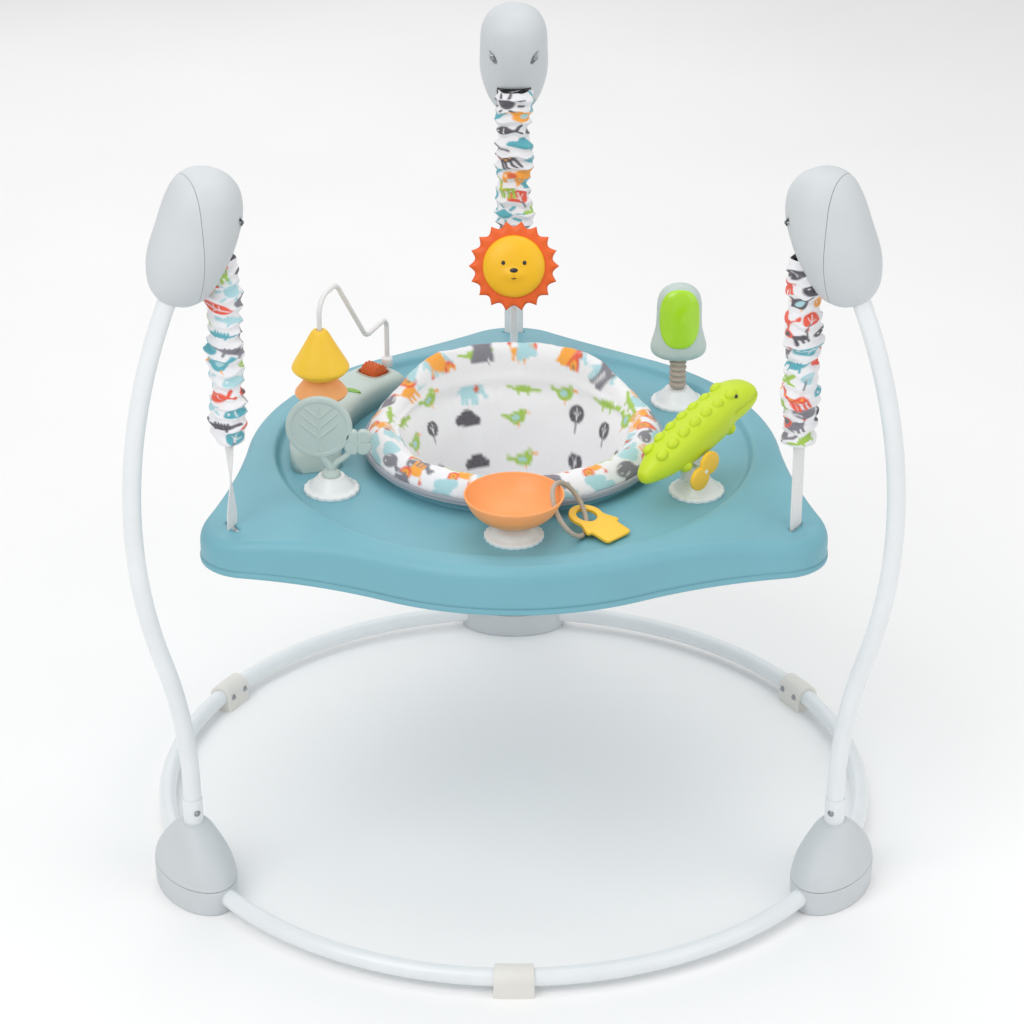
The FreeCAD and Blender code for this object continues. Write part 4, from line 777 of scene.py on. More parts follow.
@dataclass
class Floorframe:
    """Foot covers and heads of the floor frame; sizes in millimetres."""

    foot_sections: tuple = ((0, 455, 42, 71), (3, 455, 43.5, 73), (20, 455, 44.5, 74),
                            (33, 455, 44.5, 73.5), (48, 455, 42, 67),
                            (64, 455, 36, 54), (78, 455, 29, 41), (89, 455, 23, 28), (95, 455, 18, 20),
                            (97, 455, 15.5, 16))
    head_sections: tuple = ((779, 431, 8, 8), (782, 431.5, 17, 14), (790, 432, 30, 24), (811, 430, 43, 36),
                            (843, 421, 51, 44),
                            (878, 409, 50, 44), (906, 403.5, 43.5, 42), (924, 403, 33, 34),
                            (933, 404, 21, 23), (936, 405, 12, 13), (937, 405, 5, 6))
    seam: float = 34.0
    split: float = 424.0
    screw_height: float = 876.0
    screw_side: float = 27.0

    def oval(self, name: str, sections: tuple, station: float, steps: int = 80,
             levels: int = 72) -> bpy.types.Object:
        """Skin oval sections and turn them to a station."""
        table = smooth_line(sections, levels)
        a = np.arange(steps) * 2 * np.pi / steps
        rings = np.stack([table[:, 1:2] + table[:, 2:3] * np.cos(a), table[:, 3:4] * np.sin(a),
                          np.broadcast_to(table[:, :1], (levels, steps))], axis=2)
        return skin(name, turn_z(rings, station) + np.array((0, AXIS_Y, 0)))

    def halves(self, obj: bpy.types.Object, names: Sequence[str], point: Sequence[float],
               way: Sequence[float], gap: float = 0.5) -> list[bpy.types.Object]:
        """Split a closed piece by a plane into two closed pieces with a fine gap."""
        out = []
        for name, side in zip(names, (1, -1)):
            work = bmesh.new()
            work.from_mesh(obj.data)
            spot = Vector(point) * MM + Vector(way) * side * gap / 2 * MM
            cut = bmesh.ops.bisect_plane(work, geom=work.verts[:] + work.edges[:] + work.faces[:],
                                         plane_co=spot,
                                         plane_no=Vector(way) * side, clear_inner=True, clear_outer=False)
            rim = [g for g in cut["geom_cut"] if isinstance(g, bmesh.types.BMEdge)]
            lid = bmesh.ops.contextual_create(work, geom=rim)["faces"]
            for face in lid:
                face.smooth = False
            for edge in rim:
                edge.smooth = False
            bmesh.ops.recalc_face_normals(work, faces=work.faces)
            mesh = bpy.data.meshes.new(name)
            work.to_mesh(mesh)
            work.free()
            half = bpy.data.objects.new(name, mesh)
            bpy.context.scene.collection.objects.link(half)
            out.append(half)
        bpy.data.objects.remove(obj)
        return out

    def build(self) -> None:
        """Build the covers and hide the CAD nodes that they stand for."""
        for name, station in STATIONS.items():
            foot = self.oval(f"foot_whole_{name}", self.foot_sections, station)
            upper, lower = self.halves(foot, (f"foot_dome_{name}", f"foot_tray_{name}"), (0, 0, self.seam),
                                       (0, 0, 1), 0.9)
            dress(upper, "frame", "grey_plastic", f"foot_cover_{name}")
            dress(lower, "frame", "grey_plastic")
            head = self.oval(f"head_whole_{name}", self.head_sections, station)
            cuts = []
            way = np.array((math.cos(math.radians(station)), math.sin(math.radians(station)), 0.0))
            side = np.array((-way[1], way[0], 0.0))
            base = np.array((0, AXIS_Y, 0.0))
            for hand in (-1, 1):
                height = np.array((0, 0, self.screw_height))
                middle = base + way * 372 + side * hand * self.screw_side + height
                lean = side * hand * 0.5 + np.array((0, 0, 0.86))
                line = np.linspace(middle - way * 14, middle + way * 2.5, 6)
                cuts.append(sweep(f"head_slot_{name}", line, 9.5, 3.4, lean, 24, 2.6))
            mouth = base + way * 385
            line = np.array([mouth + np.array((0, 0, z)) for z in (770.0, 800.0, 832.0)])
            cuts.append(sweep(f"head_mouth_{name}", line, 22.0, 15.5, side, 32, 5.0))
            carve(head, cuts)
            spot = base + way * self.split
            outer, inner = self.halves(head, (f"head_back_{name}", f"head_front_{name}"), spot, way, 0.6)
            dress(outer, "frame", "grey_plastic", f"head_shell_{name}")
            dress(inner, "frame", "grey_plastic", f"head_cover_{name}")


# ---------------------------------------------------------------- hangers: sleeves and straps


@dataclass
class Hangers:
    """Gathered sleeves over the springs, and the webbing straps under them; sizes in millimetres."""

    radius: float = 385.0
    top: float = 828.0
    bottom: float = 598.0
    slot: float = 476.0
    half_width: float = 22.0
    half_depth: float = 17.5
    gathers: int = 15
    flat_width: float = 0.13
    flat_length: float = 0.32

    def sleeve(self, name: str, station: float, seed: int) -> bpy.types.Object:
        """Build one scrunched sleeve with its printed cloth."""
        draw = np.random.default_rng(seed)
        rows, columns = 360, 120
        s = np.linspace(0, 1, rows)[:, None]
        a = (np.arange(columns) * 2 * np.pi / columns)[None, :]
        wander = sum(draw.uniform(0.25, 0.6) * np.sin(k * a + draw.uniform(0, 6.3)) for k in (1, 2, 3, 5))
        drift = sum(draw.uniform(0.2, 0.5) * np.sin(2 * np.pi * k * s + draw.uniform(0, 6.3))
                    for k in (1, 2, 3))
        fold = 2 * np.pi * self.gathers * s + 1.5 * wander + 1.6 * drift
        crease = (0.5 + 0.5 * np.sin(fold)) ** 0.6 * 2 - 1
        fine = np.sin(2.3 * fold + 2 * wander) * 0.35 + np.sin(3 * a + 40 * s + drift * 3) * 0.3
        strength = 1.9 + 0.9 * np.sin(2 * np.pi * 2.3 * s + 3 * a + draw.uniform(0, 6.3))
        ends = np.clip(np.minimum(s, 1 - s) / 0.02, 0, 1)
        swell = crease * strength + fine * 0.8
        slow, quick = draw.uniform(0, 6.3), draw.uniform(0, 6.3)
        belly = 1.0 + 0.1 * np.sin(2 * np.pi * 3.1 * s + slow) + 0.05 * np.sin(2 * np.pi * 7 * s + quick)
        wide = self.half_width * belly * (0.86 + 0.14 * ends) + swell * (0.4 + 0.6 * ends)
        deep = self.half_depth * belly + swell * 0.9
        u = np.sign(np.cos(a)) * np.abs(np.cos(a)) ** 0.85
        v = np.sign(np.sin(a)) * np.abs(np.sin(a)) ** 0.85
        sway = 1.6 * np.sin(2 * np.pi * 2.7 * s + draw.uniform(0, 6.3)) * ends
        x = self.radius - 1.0 + deep * v
        y = wide * u + sway
        z = self.bottom + (self.top - self.bottom) * s + 1.5 * np.cos(fold) * ends + 0 * a
        z = np.clip(z, self.bottom - 1, self.top)
        points = turn_z(np.stack([x, y, z], axis=2), station) + np.array((0, AXIS_Y, 0))
        made = skin(f"spring_sleeve_{name}", points, capped=False, tidy=False)
        colours = np.tile(np.array(linear((241, 241, 244))), (rows * columns, 1))
        length, girth = 400.0, 138.0
        across = (np.arange(columns) / columns * girth)[None, :] + 0 * s
        upward = s * length + 0 * a
        kinds = list(Motif)
        inks = ["red", "amber", "teal", "aqua", "lime", "charcoal", "grey", "charcoal", "teal"]
        spots = [(col * 46.0 + (23 if row % 2 else 0) + draw.uniform(-4, 4),
                  row * 33.0 + 12 + draw.uniform(-4, 4))
                 for row in range(12) for col in range(3)]
        for px, py in spots:
            motif, ink = kinds[draw.integers(len(kinds))], inks[draw.integers(len(inks))]
            size, tilt = draw.uniform(24, 30), draw.uniform(-0.5, 0.5)
            dx = (across - px + girth / 2) % girth - girth / 2
            dy = upward - py
            p = (dx * math.cos(tilt) + dy * math.sin(tilt)) / size
            q = (dy * math.cos(tilt) - dx * math.sin(tilt)) / size
            print_motif(colours, p.ravel(), q.ravel(), motif, ink, 0.08)
        store_print(made, colours)
        wall = made.modifiers.new("cloth", "SOLIDIFY")
        wall.thickness, wall.offset = 0.0007, -1.0
        return made

    def strap(self, name: str, station: float, twist: np.ndarray) -> bpy.types.Object:
        """Build one webbing strap from inside its sleeve down into the tray."""
        count = len(twist)
        z = np.linspace(642.0, self.slot, count)
        waist = 1 - 0.3 * np.sin(np.radians(twist)) ** 2
        line = np.stack([np.full(count, self.radius), np.zeros(count), z], axis=1)
        tangent = np.array((0.0, 1.0, 0.0))
        made = sweep(f"webbing_{name}", turn_z(line, station) + np.array((0, AXIS_Y, 0)), 12.4 * waist, 0.95,
                     turn_z(tangent[None], station)[0], 20, 6.0, twist=twist)
        return made

    def build(self) -> None:
        """Build the three hangers."""
        turns = {"left": 62 * np.clip((np.linspace(0, 1, 90) - 0.25) / 0.6, 0, 1) ** 1.5,
                 "right": np.full(90, 6.0), "rear": np.full(90, 0.0)}
        for seed, (name, station) in enumerate(STATIONS.items(), start=11):
            strap = dress(self.strap(name, station, turns[name]), "tray", "strap_web", f"strap_{name}")
            LOG.info("webbing %s made", strap.name)
            cover = self.sleeve(name, station, seed)
            cover.data.materials.append(finish("sleeve_cloth"))
            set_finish(cover, "sleeve_cloth")
            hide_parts(f"spring_cover_{name}")
            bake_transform(cover)


# ---------------------------------------------------------------- the tray


@dataclass
class Tray:
    """Lobed play tray with a round well; sizes in millimetres."""

    body: float = 332.0
    lobe_centre: float = 362.0
    lobe: float = 60.0
    hollow: float = 600.0
    bottom: float = 440.0
    wall: float = 3.0
    hole: float = 166.0
    lip: float = 500.0
    columns: int = 540

    def outline(self) -> np.ndarray:
        """Find the outline's radius at each column."""
        reach, span = self.body + self.hollow, self.lobe + self.hollow
        swing = math.acos((reach ** 2 + self.lobe_centre ** 2 - span ** 2) / (2 * reach * self.lobe_centre))
        points = []
        for station in STATIONS.values():
            middle = math.radians(station)
            tip = np.array((math.cos(middle), math.sin(middle))) * self.lobe_centre
            for hand in (-1, 1):
                away = middle + hand * swing
                focus = np.array((math.cos(away), math.sin(away))) * reach
                first, last = math.atan2(*(-focus)[::-1]), math.atan2(*(tip - focus)[::-1])
                bend = (last - first + math.pi) % (2 * math.pi) - math.pi
                points += [focus + self.hollow * np.array((math.cos(first + bend * t),
                                                           math.sin(first + bend * t)))
                                                           for t in np.linspace(0, 1, 80)]
            start = points[-1]
            for t in np.linspace(-1, 1, 240):
                a = middle + t * 1.9
                spot = tip + self.lobe * np.array((math.cos(a), math.sin(a)))
                if np.linalg.norm(spot) > np.linalg.norm(start) - 1e-6:
                    points.append(spot)
        points = np.array(points)
        angle, radius = np.arctan2(points[:, 1], points[:, 0]), np.hypot(points[:, 0], points[:, 1])
        order = np.argsort(angle)
        angle, radius = angle[order], radius[order]
        want = np.linspace(-math.pi, math.pi, self.columns, endpoint=False)
        found = np.interp(want, np.concatenate([angle - 2 * math.pi, angle, angle + 2 * math.pi]),
                          np.tile(radius, 3))
        return np.stack([want, np.maximum(found, self.body)], axis=1)

    def build(self) -> None:
        """Build the tray as one closed shell with its strap slots."""
        table = self.outline()
        angle, rim = table[:, 0], table[:, 1]
        inner = rounded([(178, 440 + 42, 0), (172.5, 482, 1), (172.5, 479, 0.5), (self.hole, 479, 1),
                         (self.hole, 500, 1.4), (172, 500, 1.4),
                         (172.3, 491, 1.5), (289, 491, 5), (294.5, 498.5, 2), (297.5, self.lip, 2),
                         (304, self.lip, 4), (307, 499.6, 1)], 6)
        rows = [np.stack([np.full(self.columns, r), np.full(self.columns, z)], axis=1) for r, z in inner]
        start, shoulder = 307.0, 18.0

        def slope(radius: np.ndarray) -> np.ndarray:
            """Return the top's height at a radius, outside the lip."""
            return self.lip - 0.4 - (radius - 307) * 0.185

        for t in np.linspace(0.08, 1, 12):
            r = start + (rim - shoulder - start) * t
            rows.append(np.stack([r, slope(r)], axis=1))
        crest = slope(rim - shoulder)
        for t in np.linspace(0.08, 1, 12):
            a = t * math.pi / 2
            rows.append(np.stack([rim - shoulder + shoulder * np.sin(a),
                                  crest - shoulder * (1 - np.cos(a))], axis=1))
        for drop, level in ((0, 452), (0.2, 449), (-0.9, 448.2), (-0.9, 447.4), (0.9, 446.6), (1.0, 443),
                            (0.6, 441), (-0.4, 440.2), (-1.6, 440), (-3.4, 440.6), (-3.6, 446)):
            rows.append(np.stack([rim + drop, np.full(self.columns, float(level))], axis=1))
        for t in np.linspace(0.0, 1, 8):
            a = (1 - t) * math.pi / 2
            rows.append(np.stack([rim - shoulder + (shoulder - 3.5) * np.sin(a),
                                  crest - 3.2 - shoulder * (1 - np.cos(a)) * 0.85], axis=1))
        for r, z in ((307.0, 496.2), (297, 496.8), (287, 487.8), (178, 487.8)):
            rows.append(np.stack([np.full(self.columns, r), np.full(self.columns, z)], axis=1))
        rows.append(rows[0])
        grid = np.array(rows)
        x, y = grid[..., 0] * np.cos(angle), grid[..., 0] * np.sin(angle) + AXIS_Y
        made = skin("tray_moulding", np.stack([x, y, grid[..., 1]], axis=2), capped=False)
        cuts = []
        for name, station in STATIONS.items():
            line = turn_z(np.array([[385.0, 0, z] for z in (462.0, 480.0, 498.0)]),
                          station) + np.array((0, AXIS_Y, 0))
            side = turn_z(np.array([[0.0, 1.0, 0.0]]), station)[0]
            cuts.append(sweep(f"slot_{name}", line, 15.0, 3.4, side, 24, 4.0))
        carve(made, cuts)
        dress(made, "tray", "tray_teal", "play_tray")


# ---------------------------------------------------------------- the seat


Place = tuple[Motif, str, float, float, float, float]


def print_places() -> list[Place]:
    """Lay the seat's print out.

    Returns:
        For each mark: its motif, ink, azimuth, share of the section, half size and tilt.
    """
    places: list[Place] = []
    draw = np.random.default_rng(21)
    kinds = [(Motif.ELEPHANT, "red"), (Motif.CLOUD, "teal"), (Motif.WHALE, "grey"), (Motif.BIRD, "lime"),
             (Motif.FISH, "amber"),
             (Motif.LEAF, "lime"), (Motif.LION, "amber"), (Motif.CLOUD, "charcoal"), (Motif.GIRAFFE, "red"),
             (Motif.FISH, "aqua"),
             (Motif.CROC, "lime"), (Motif.TREE, "charcoal"), (Motif.SUN, "amber"), (Motif.CLOUD, "aqua"),
             (Motif.ELEPHANT, "aqua")]
    index = 0
    for row, count, size in ((0.17, 11, 21), (0.225, 12, 22), (0.28, 13, 22), (0.335, 14, 22),
                             (0.39, 16, 21), (0.445, 18, 21), (0.5, 20, 20), (0.555, 21, 20)):
        for step in range(count):
            motif, ink = kinds[index % len(kinds)]
            azimuth = (step + 0.5 * (index % 2) * 0.4 + row * 7) * 360 / count + draw.uniform(-3, 3)
            places.append((motif, ink, azimuth, row + draw.uniform(-0.006, 0.006),
                           size * draw.uniform(0.85, 1.1), draw.uniform(-14, 14)))
            index += 4 if step % 3 else 7
    return places


@dataclass
class Seat:
    """Padded seat on its turning ring; sizes in millimetres."""

    rows: int = 240
    columns: int = 400
    back_rise: float = 34.0

    def rise(self, degrees: np.ndarray) -> np.ndarray:
        """Say how far the backrest lifts the roll at an azimuth, from 0 to 1."""
        off = np.abs((degrees - 92 + 180) % 360 - 180)
        return np.clip((72 - off) / 40, 0, 1) ** 2 * (3 - 2 * np.clip((72 - off) / 40, 0, 1))

    def shell(self) -> tuple[np.ndarray, np.ndarray, np.ndarray]:
        """Lay out the padded form.

        Returns:
            The grid of points, each column's azimuth in degrees and each row's length along the section.
        """
        degrees = np.linspace(0, 360, self.columns, endpoint=False)
        lift = self.rise(degrees)
        rings = []
        for share in lift:
            up, lean = self.back_rise * share, 4.0 * share
            line = [(0, 312), (38, 313), (62, 318), (84, 332), (99, 352), (109, 388), (115, 430),
                    (122, 468), (131, 496),
                    (141 - lean * 0.5, 515), (150 - lean, 527 + up * 0.75), (158 - lean, 533 + up),
                    (166 - lean, 533 + up),
                    (174 - lean * 1.6, 528 + up * 0.8), (180 - lean * 1.3, 520 + up * 0.35), (182.5, 513),
                    (180, 508.5), (174, 507.5),
                    (160, 507), (153, 500), (149, 482), (141, 445), (128, 388), (115, 345), (98, 318),
                    (70, 305), (40, 302), (0, 301)]
            rings.append(smooth_line(line, self.rows))
        table = np.array(rings)
        a = np.radians(degrees)[:, None]
        r, z = table[..., 0], table[..., 1]
        grid = np.stack([r * np.cos(a), r * np.sin(a), z], axis=2).transpose(1, 0, 2)
        return grid, degrees, np.linspace(0, 1, self.rows)

    def build(self) -> None:
        """Build the seat and its piping."""
        grid, degrees, share = self.shell()
        draw = np.random.default_rng(5)
        a = np.radians(degrees)[None, :]
        level = share[:, None]
        out = np.gradient(grid, axis=0)
        across = np.gradient(np.concatenate([grid[:, -1:], grid, grid[:, :1]], axis=1), axis=1)[:, 1:-1]
        normal = np.cross(across, out)
        normal /= np.maximum(np.linalg.norm(normal, axis=2), 1e-6)[..., None]
        pucker = sum(w * np.sin(k * a + draw.uniform(0, 6.3) + 3 * level)
                     for k, w in ((7, 0.6), (13, 0.55), (23, 0.5), (41, 0.3), (67, 0.18)))
        on_roll = np.exp(-((level - 0.47) / 0.11) ** 2)
        inside = np.clip((0.42 - level) / 0.05, 0, 1)
        wave = sum(w * np.sin(k * level * 6.3 + m * a + draw.uniform(0, 6.3))
                   for k, m, w in ((5, 3, 0.9), (9, -5, 0.6), (14, 8, 0.4)))
        channel = -2.2 * np.exp(-((level - 0.345) / 0.006) ** 2)
        bulge = pucker * (0.9 * on_roll + 0.5 * inside) + wave * 0.9 * inside + channel
        grid = grid + normal * (bulge * np.clip(np.minimum(level, 1 - level) / 0.05, 0, 1))[..., None]
        points = grid + np.array((0, AXIS_Y, 0))
        made = skin("padded_seat", points, capped=False, tidy=False)
        flat = points.reshape(-1, 3)
        colours = np.tile(np.array(linear((242, 242, 245))), (len(flat), 1))
        inner = np.broadcast_to(level < 0.62, grid.shape[:2]).ravel()
        for motif, ink, azimuth, row, size, tilt in print_places():
            column = int((azimuth % 360) / 360 * self.columns) % self.columns
            at = min(self.rows - 2, int(row * self.rows))
            spot, side = points[at, column], points[at, (column - 1) % self.columns] - points[at, column]
            upward = points[at + 1, column] - points[at, column]
            side, upward = side / np.linalg.norm(side), upward / np.linalg.norm(upward)
            t = math.radians(tilt)
            one, two = side * math.cos(t) + upward * math.sin(t), upward * math.cos(t) - side * math.sin(t)
            away = flat - spot
            u, v = away @ one / size, away @ two / size
            off = np.abs(away @ np.cross(one, two)) > size * 1.2
            u = np.where(off | ~inner, 9.0, u)
            print_motif(colours, u, v, motif, ink, 0.09)
        store_print(made, colours)
        holes = []
        for hand in (-1, 1):
            line = np.array([[hand * 60.0, y + AXIS_Y, 374.0] for y in (-190.0, -110.0, -20.0)])
            holes.append(sweep(f"leg_hole_{hand + 1}", line, 42.0, 44.0, (1, 0, 0), 64))
        carve(made, holes)
        dress(made, "seat", "seat_cloth", "seat_fabric")
        self.piping()

    def piping(self) -> None:
        """Build the grey binding round the seat's lower edge."""
        a = np.radians(np.linspace(0, 360, 241)[:-1])
        line = np.stack([184.0 * np.cos(a), 184.0 * np.sin(a), np.full(240, 508.5)],
                        axis=1) + np.array((0, AXIS_Y, 0))
        turns = np.arange(16) * 2 * np.pi / 16
        rings = line[:, None] + np.stack([np.cos(turns)[None] * 2.6 * np.cos(a)[:, None],
                                          np.cos(turns)[None] * 2.6 * np.sin(a)[:, None],
                                          np.broadcast_to(np.sin(turns) * 2.6, (240, 16))], axis=2)
        rings = np.concatenate([rings, rings[:1]])
        dress(skin("seat_binding", rings, capped=False), "seat", "seat_grey")


# ---------------------------------------------------------------- toys


def joint_at(name: str) -> np.ndarray:
    """Return a joint's place in the record, in millimetres."""
    return np.array(next(j["pos_m"] for j in frame["joints"] if j["name"] == name)) / MM


@dataclass
class Toys:
    """The toys on the tray; sizes in millimetres."""

    base_rise: float = 20.0

    def base(self, name: str, spot: Sequence[float], radius: float, ribs: int) -> bpy.types.Object:
        """Build a snap-in base: a low dome with a scalloped flange."""
        profile = rounded([(0, 0, 0), (radius, 0, 0.8), (radius, 4.2, 1.8), (radius - 6, 6.2, 2.5),
                           (radius - 12, 13, 6), (17, 18, 4), (16, self.base_rise, 1.5),
                           (0, self.base_rise, 0)], 7)

        def scallop(rings: np.ndarray) -> np.ndarray:
            """Press small hollows round the flange."""
            out = np.hypot(rings[..., 0], rings[..., 1])
            around = np.arctan2(rings[..., 1], rings[..., 0])
            depth = np.clip((out - radius + 9) / 9, 0, 1) * 1.1 * (0.5 + 0.5 * np.cos(ribs * around)) ** 2
            share = 1 - depth / np.maximum(out, 1)
            return np.stack([rings[..., 0] * share, rings[..., 1] * share, rings[..., 2]], axis=2)
        return lathe(f"base_{name}", profile, (spot[0], spot[1], WELL), 192, shape=scallop)

    def build(self) -> None:
        """Build every toy."""
        tree, bird = joint_at("tree_swivel"), joint_at("bird_rock")
        heading = math.radians(43)
        croc = joint_at("croc_rock") - np.array((-4 * math.sin(heading), 4 * math.cos(heading), 0))
        low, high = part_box("bowl")
        bowl = np.array(((low.x + high.x) / 2 / MM, (low.y + high.y) / 2 / MM, 0))
        bowl[0] = 0.0
        bases = [self.base("tree", tree, 34, 18), self.base("bird", bird, 34, 18),
                 self.base("croc", croc, 34, 18), self.base("bowl", bowl, 35.5, 24)]
        dress(join("toy_base_set", bases), "tray", "base_white", "toy_bases")
        self.tree(tree)
        self.bird(bird)
        self.croc(croc)
        self.bowl(bowl)
        self.hill()
        self.lion()

    def leaf_plate(self, name: str, radius: float, spot: Sequence[float],
                   thick: float = 8.0) -> bpy.types.Object:
        """Build a round leaf that faces along Y, with a rim and raised veins on both faces."""
        rings = 64
        a = np.arange(160) * 2 * np.pi / 160
        rows = []
        for side in (-1, 1):
            line = np.linspace(0, 1, rings) if side < 0 else np.linspace(1, 0, rings)
            for t in line:
                r = radius * t
                x, z = r * np.cos(a), r * np.sin(a)
                depth = thick / 2 * np.sqrt(np.clip(1 - np.clip((t - 0.93) / 0.07, 0, 1) ** 2, 0, 1))
                panel = -1.3 * (abs(t - 0.86) >= 0.02) * (t < 0.86)
                vein = np.exp(-(x / 1.5) ** 2) * (np.abs(z) < radius * 0.75)
                for level in (-0.35, -0.02, 0.3):
                    path = np.abs(z - radius * level - np.abs(x) * 0.85)
                    vein = np.maximum(vein, np.exp(-(path / 1.4) ** 2) * (np.abs(x) < radius * 0.55) *
                                      (t < 0.78))
                depth = depth + panel + vein * 1.4 * (t < 0.84)
                rows.append(np.stack([x, side * depth, z], axis=1))
        return skin(name, np.array(rows) + np.array(spot), capped=False)

    def tree(self, spot: np.ndarray) -> None:
        """Build the leaf, the clover and their stems."""
        x, y = spot[0], spot[1]
        parts = [self.leaf_plate("leaf", 40, (x - 13, y, WELL + 84))]
        line = smooth_line([(x, y, WELL + 21), (x - 1, y, WELL + 30), (x - 9, y, WELL + 44),
                            (x - 12, y, WELL + 60)], 24)
        parts.append(sweep("leaf_stem", line, np.linspace(5.2, 4.2, 24), np.linspace(4.4, 3.6, 24),
                           (1, 0, 0), 24))
        line = smooth_line([(x + 1, y, WELL + 26), (x + 6, y, WELL + 36), (x + 19, y, WELL + 46),
                            (x + 31, y, WELL + 62)], 24)
        parts.append(sweep("clover_stem", line, 3.8, 3.6, (0, 1, 0), 24))
        parts.append(lathe("tree_foot", rounded([(0, 20.3, 0), (12, 20.3, 1), (11, 24.5, 2), (5, 28, 3),
                                                 (0, 28, 0)]), (x, y, WELL), 48))
        a = np.arange(144) * 2 * np.pi / 144
        rows = []
        for side in (-1, 1):
            for t in (np.linspace(0, 1, 30) if side < 0 else np.linspace(1, 0, 30)):
                reach = 13.5 + 6.0 * np.abs(np.sin(2 * a)) ** 0.7
                depth = 4.0 * np.sqrt(np.clip(1 - np.clip((t - 0.8) / 0.2, 0, 1) ** 2, 0, 1))
                groove = 0.9 * np.exp(-((np.abs(np.sin(2 * a)) / 0.12) ** 2)) * (t > 0.15)
                rows.append(np.stack([reach * t * np.cos(a), side * (depth - groove),
                                      reach * t * np.sin(a)], axis=1))
        parts.append(skin("clover", np.array(rows) + np.array((x + 33, y, WELL + 64)), capped=False))
        dress(join("tree_moulding", parts), "tree", "toy_sage", "tree_toy")

    def bird(self, spot: np.ndarray) -> None:
        """Build the bird: ribbed neck, moulded body and glossy panel."""
        x, y = spot[0], spot[1]
        foot = WELL + 61
        ribs = [(0, WELL + 21.2, 0), (3, WELL + 21.2, 0.4), (9.5, WELL + 22.5, 1)]
        for index in range(5):
            level = WELL + 24 + index * 7.4
            ribs += [(11, level + 1.4, 1.6), (11, level + 4.4, 1.6), (8, level + 5.7, 0.8),
                     (8, level + 6.9, 0.8)]
        ribs += [(8, foot + 1, 0.5), (0, foot + 1, 0)]
        dress(lathe("bird_collar", rounded(ribs, 5), (x, y, 0), 64), "bird", "neck_beige", "bird_neck")
        table = smooth_line([(0, 8, 12), (3, 15, 24), (9, 19.5, 33), (18, 20.5, 35.5), (30, 20.2, 33),
                             (44, 19.5, 29.5), (60, 19, 28.6), (76, 18, 28.2),
                             (88, 15.5, 25.5), (96, 12, 20), (101, 7.5, 12), (103, 2.5, 4)], 84)
        a = np.arange(96) * 2 * np.pi / 96
        u, v = np.sign(np.cos(a)) * np.abs(np.cos(a)) ** 0.9, np.sign(np.sin(a)) * np.abs(np.sin(a)) ** 0.9
        rings = np.stack([x + table[:, 2:3] * u, y + table[:, 1:2] * v,
                          np.broadcast_to(foot + table[:, :1], (84, 96))], axis=2)
        dress(skin("bird_moulding", rings), "bird", "toy_sage", "bird_body")
        rows = []
        for t in np.linspace(0, 1, 30):
            b = np.arange(96) * 2 * np.pi / 96
            px = 26.0 * t * np.sign(np.cos(b)) * np.abs(np.cos(b)) ** 0.8
            pz = 60 + 39.0 * t * np.sign(np.sin(b)) * np.abs(np.sin(b)) ** 0.8
            half = np.interp(pz, table[:, 0], table[:, 1])
            full = np.interp(pz, table[:, 0], table[:, 2])
            front = half * np.clip(1 - (np.abs(px) / full) ** 2.222, 0.002, 1) ** (1 / 2.222)
            rise = 1.6 * np.sqrt(max(1 - max((t - 0.85) / 0.15, 0) ** 2, 0)) + (0.0 if t < 1 else -1.0)
            rows.append(np.stack([x + px, y - front - rise, foot + pz], axis=1))
        back = [row + np.array((0, 4.0, 0)) for row in rows[::-1]]
        dress(skin("bird_front", np.array(rows + back), capped=False), "bird", "panel_green", "bird_panel")

    def croc(self, spot: np.ndarray) -> None:
        """Build the crocodile and the twin discs."""
        base = np.array((spot[0], spot[1], WELL))

        def posed(points: np.ndarray) -> np.ndarray:
            """Pitch the crocodile up and turn it to its heading."""
            return turn_z(turn_y(points, -19) + np.array((0, 4, 79)), 43) + base

        table = smooth_line([(-98, 3, 3, -3), (-94, 7, 7, -2), (-82, 11, 11.5, -1), (-62, 16, 16, 0),
                             (-30, 20, 19.5, 0), (0, 21.5, 20.5, 0), (28, 21, 20, 0.5), (40, 19, 18.5, 1),
                             (52, 18, 18, 2), (66, 18.5, 18, 2), (82, 17, 14, 0), (93, 13, 9, -1),
                             (98, 6, 4, -1.5)], 110)
        a = np.arange(72) * 2 * np.pi / 72
        u, v = np.sign(np.cos(a)) * np.abs(np.cos(a)) ** 0.85, np.sign(np.sin(a)) * np.abs(np.sin(a)) ** 0.85
        rings = np.stack([np.broadcast_to(table[:, :1], (110, 72)), table[:, 1:2] * u * 1.3,
                          table[:, 2:3] * v * 1.24 + table[:, 3:4]], axis=2)
        mouth = (rings[..., 0] > 46) & (np.abs(rings[..., 2] - 1.0) < 1.6)
        rings[..., 1] = np.where(mouth, rings[..., 1] * 0.9, rings[..., 1])
        body = skin("croc_form", posed(rings))
        parts = [body]
        for hand in (-1, 1):
            for along in (-44.0, 34.0):
                line = posed(np.array([(along, hand * 13.0, -8.0), (along + 2, hand * 17.0, -15.0),
                                       (along + 6, hand * 18.0, -20.0)]))
                parts.append(sweep("croc_foot", smooth_line(line, 12), ball_ends(12, 9.0, 0.2, 0.35),
                                   ball_ends(12, 7.5, 0.2, 0.35), (1, 0, 0), 24))
        dress(join("croc_moulding", parts), "croc", "croc_lime", "croc_body")
        bumps, outs = [], []
        for hand in (-1, 1):
            for along in (-66.0, -46.0, -26.0, -6.0, 14.0, 34.0):
                half = np.interp(along, table[:, 0], table[:, 2])
                bumps.append((along, hand * 11.0, half * 1.13))
                outs.append((0, hand * 0.4, 0.92))
        for hand in (-1, 1):
            bumps.append((56.0, hand * 12.5, 21.5))
            outs.append((0, hand * 0.4, 0.92))
        ways = posed(np.array(outs)) - posed(np.zeros((1, 3)))
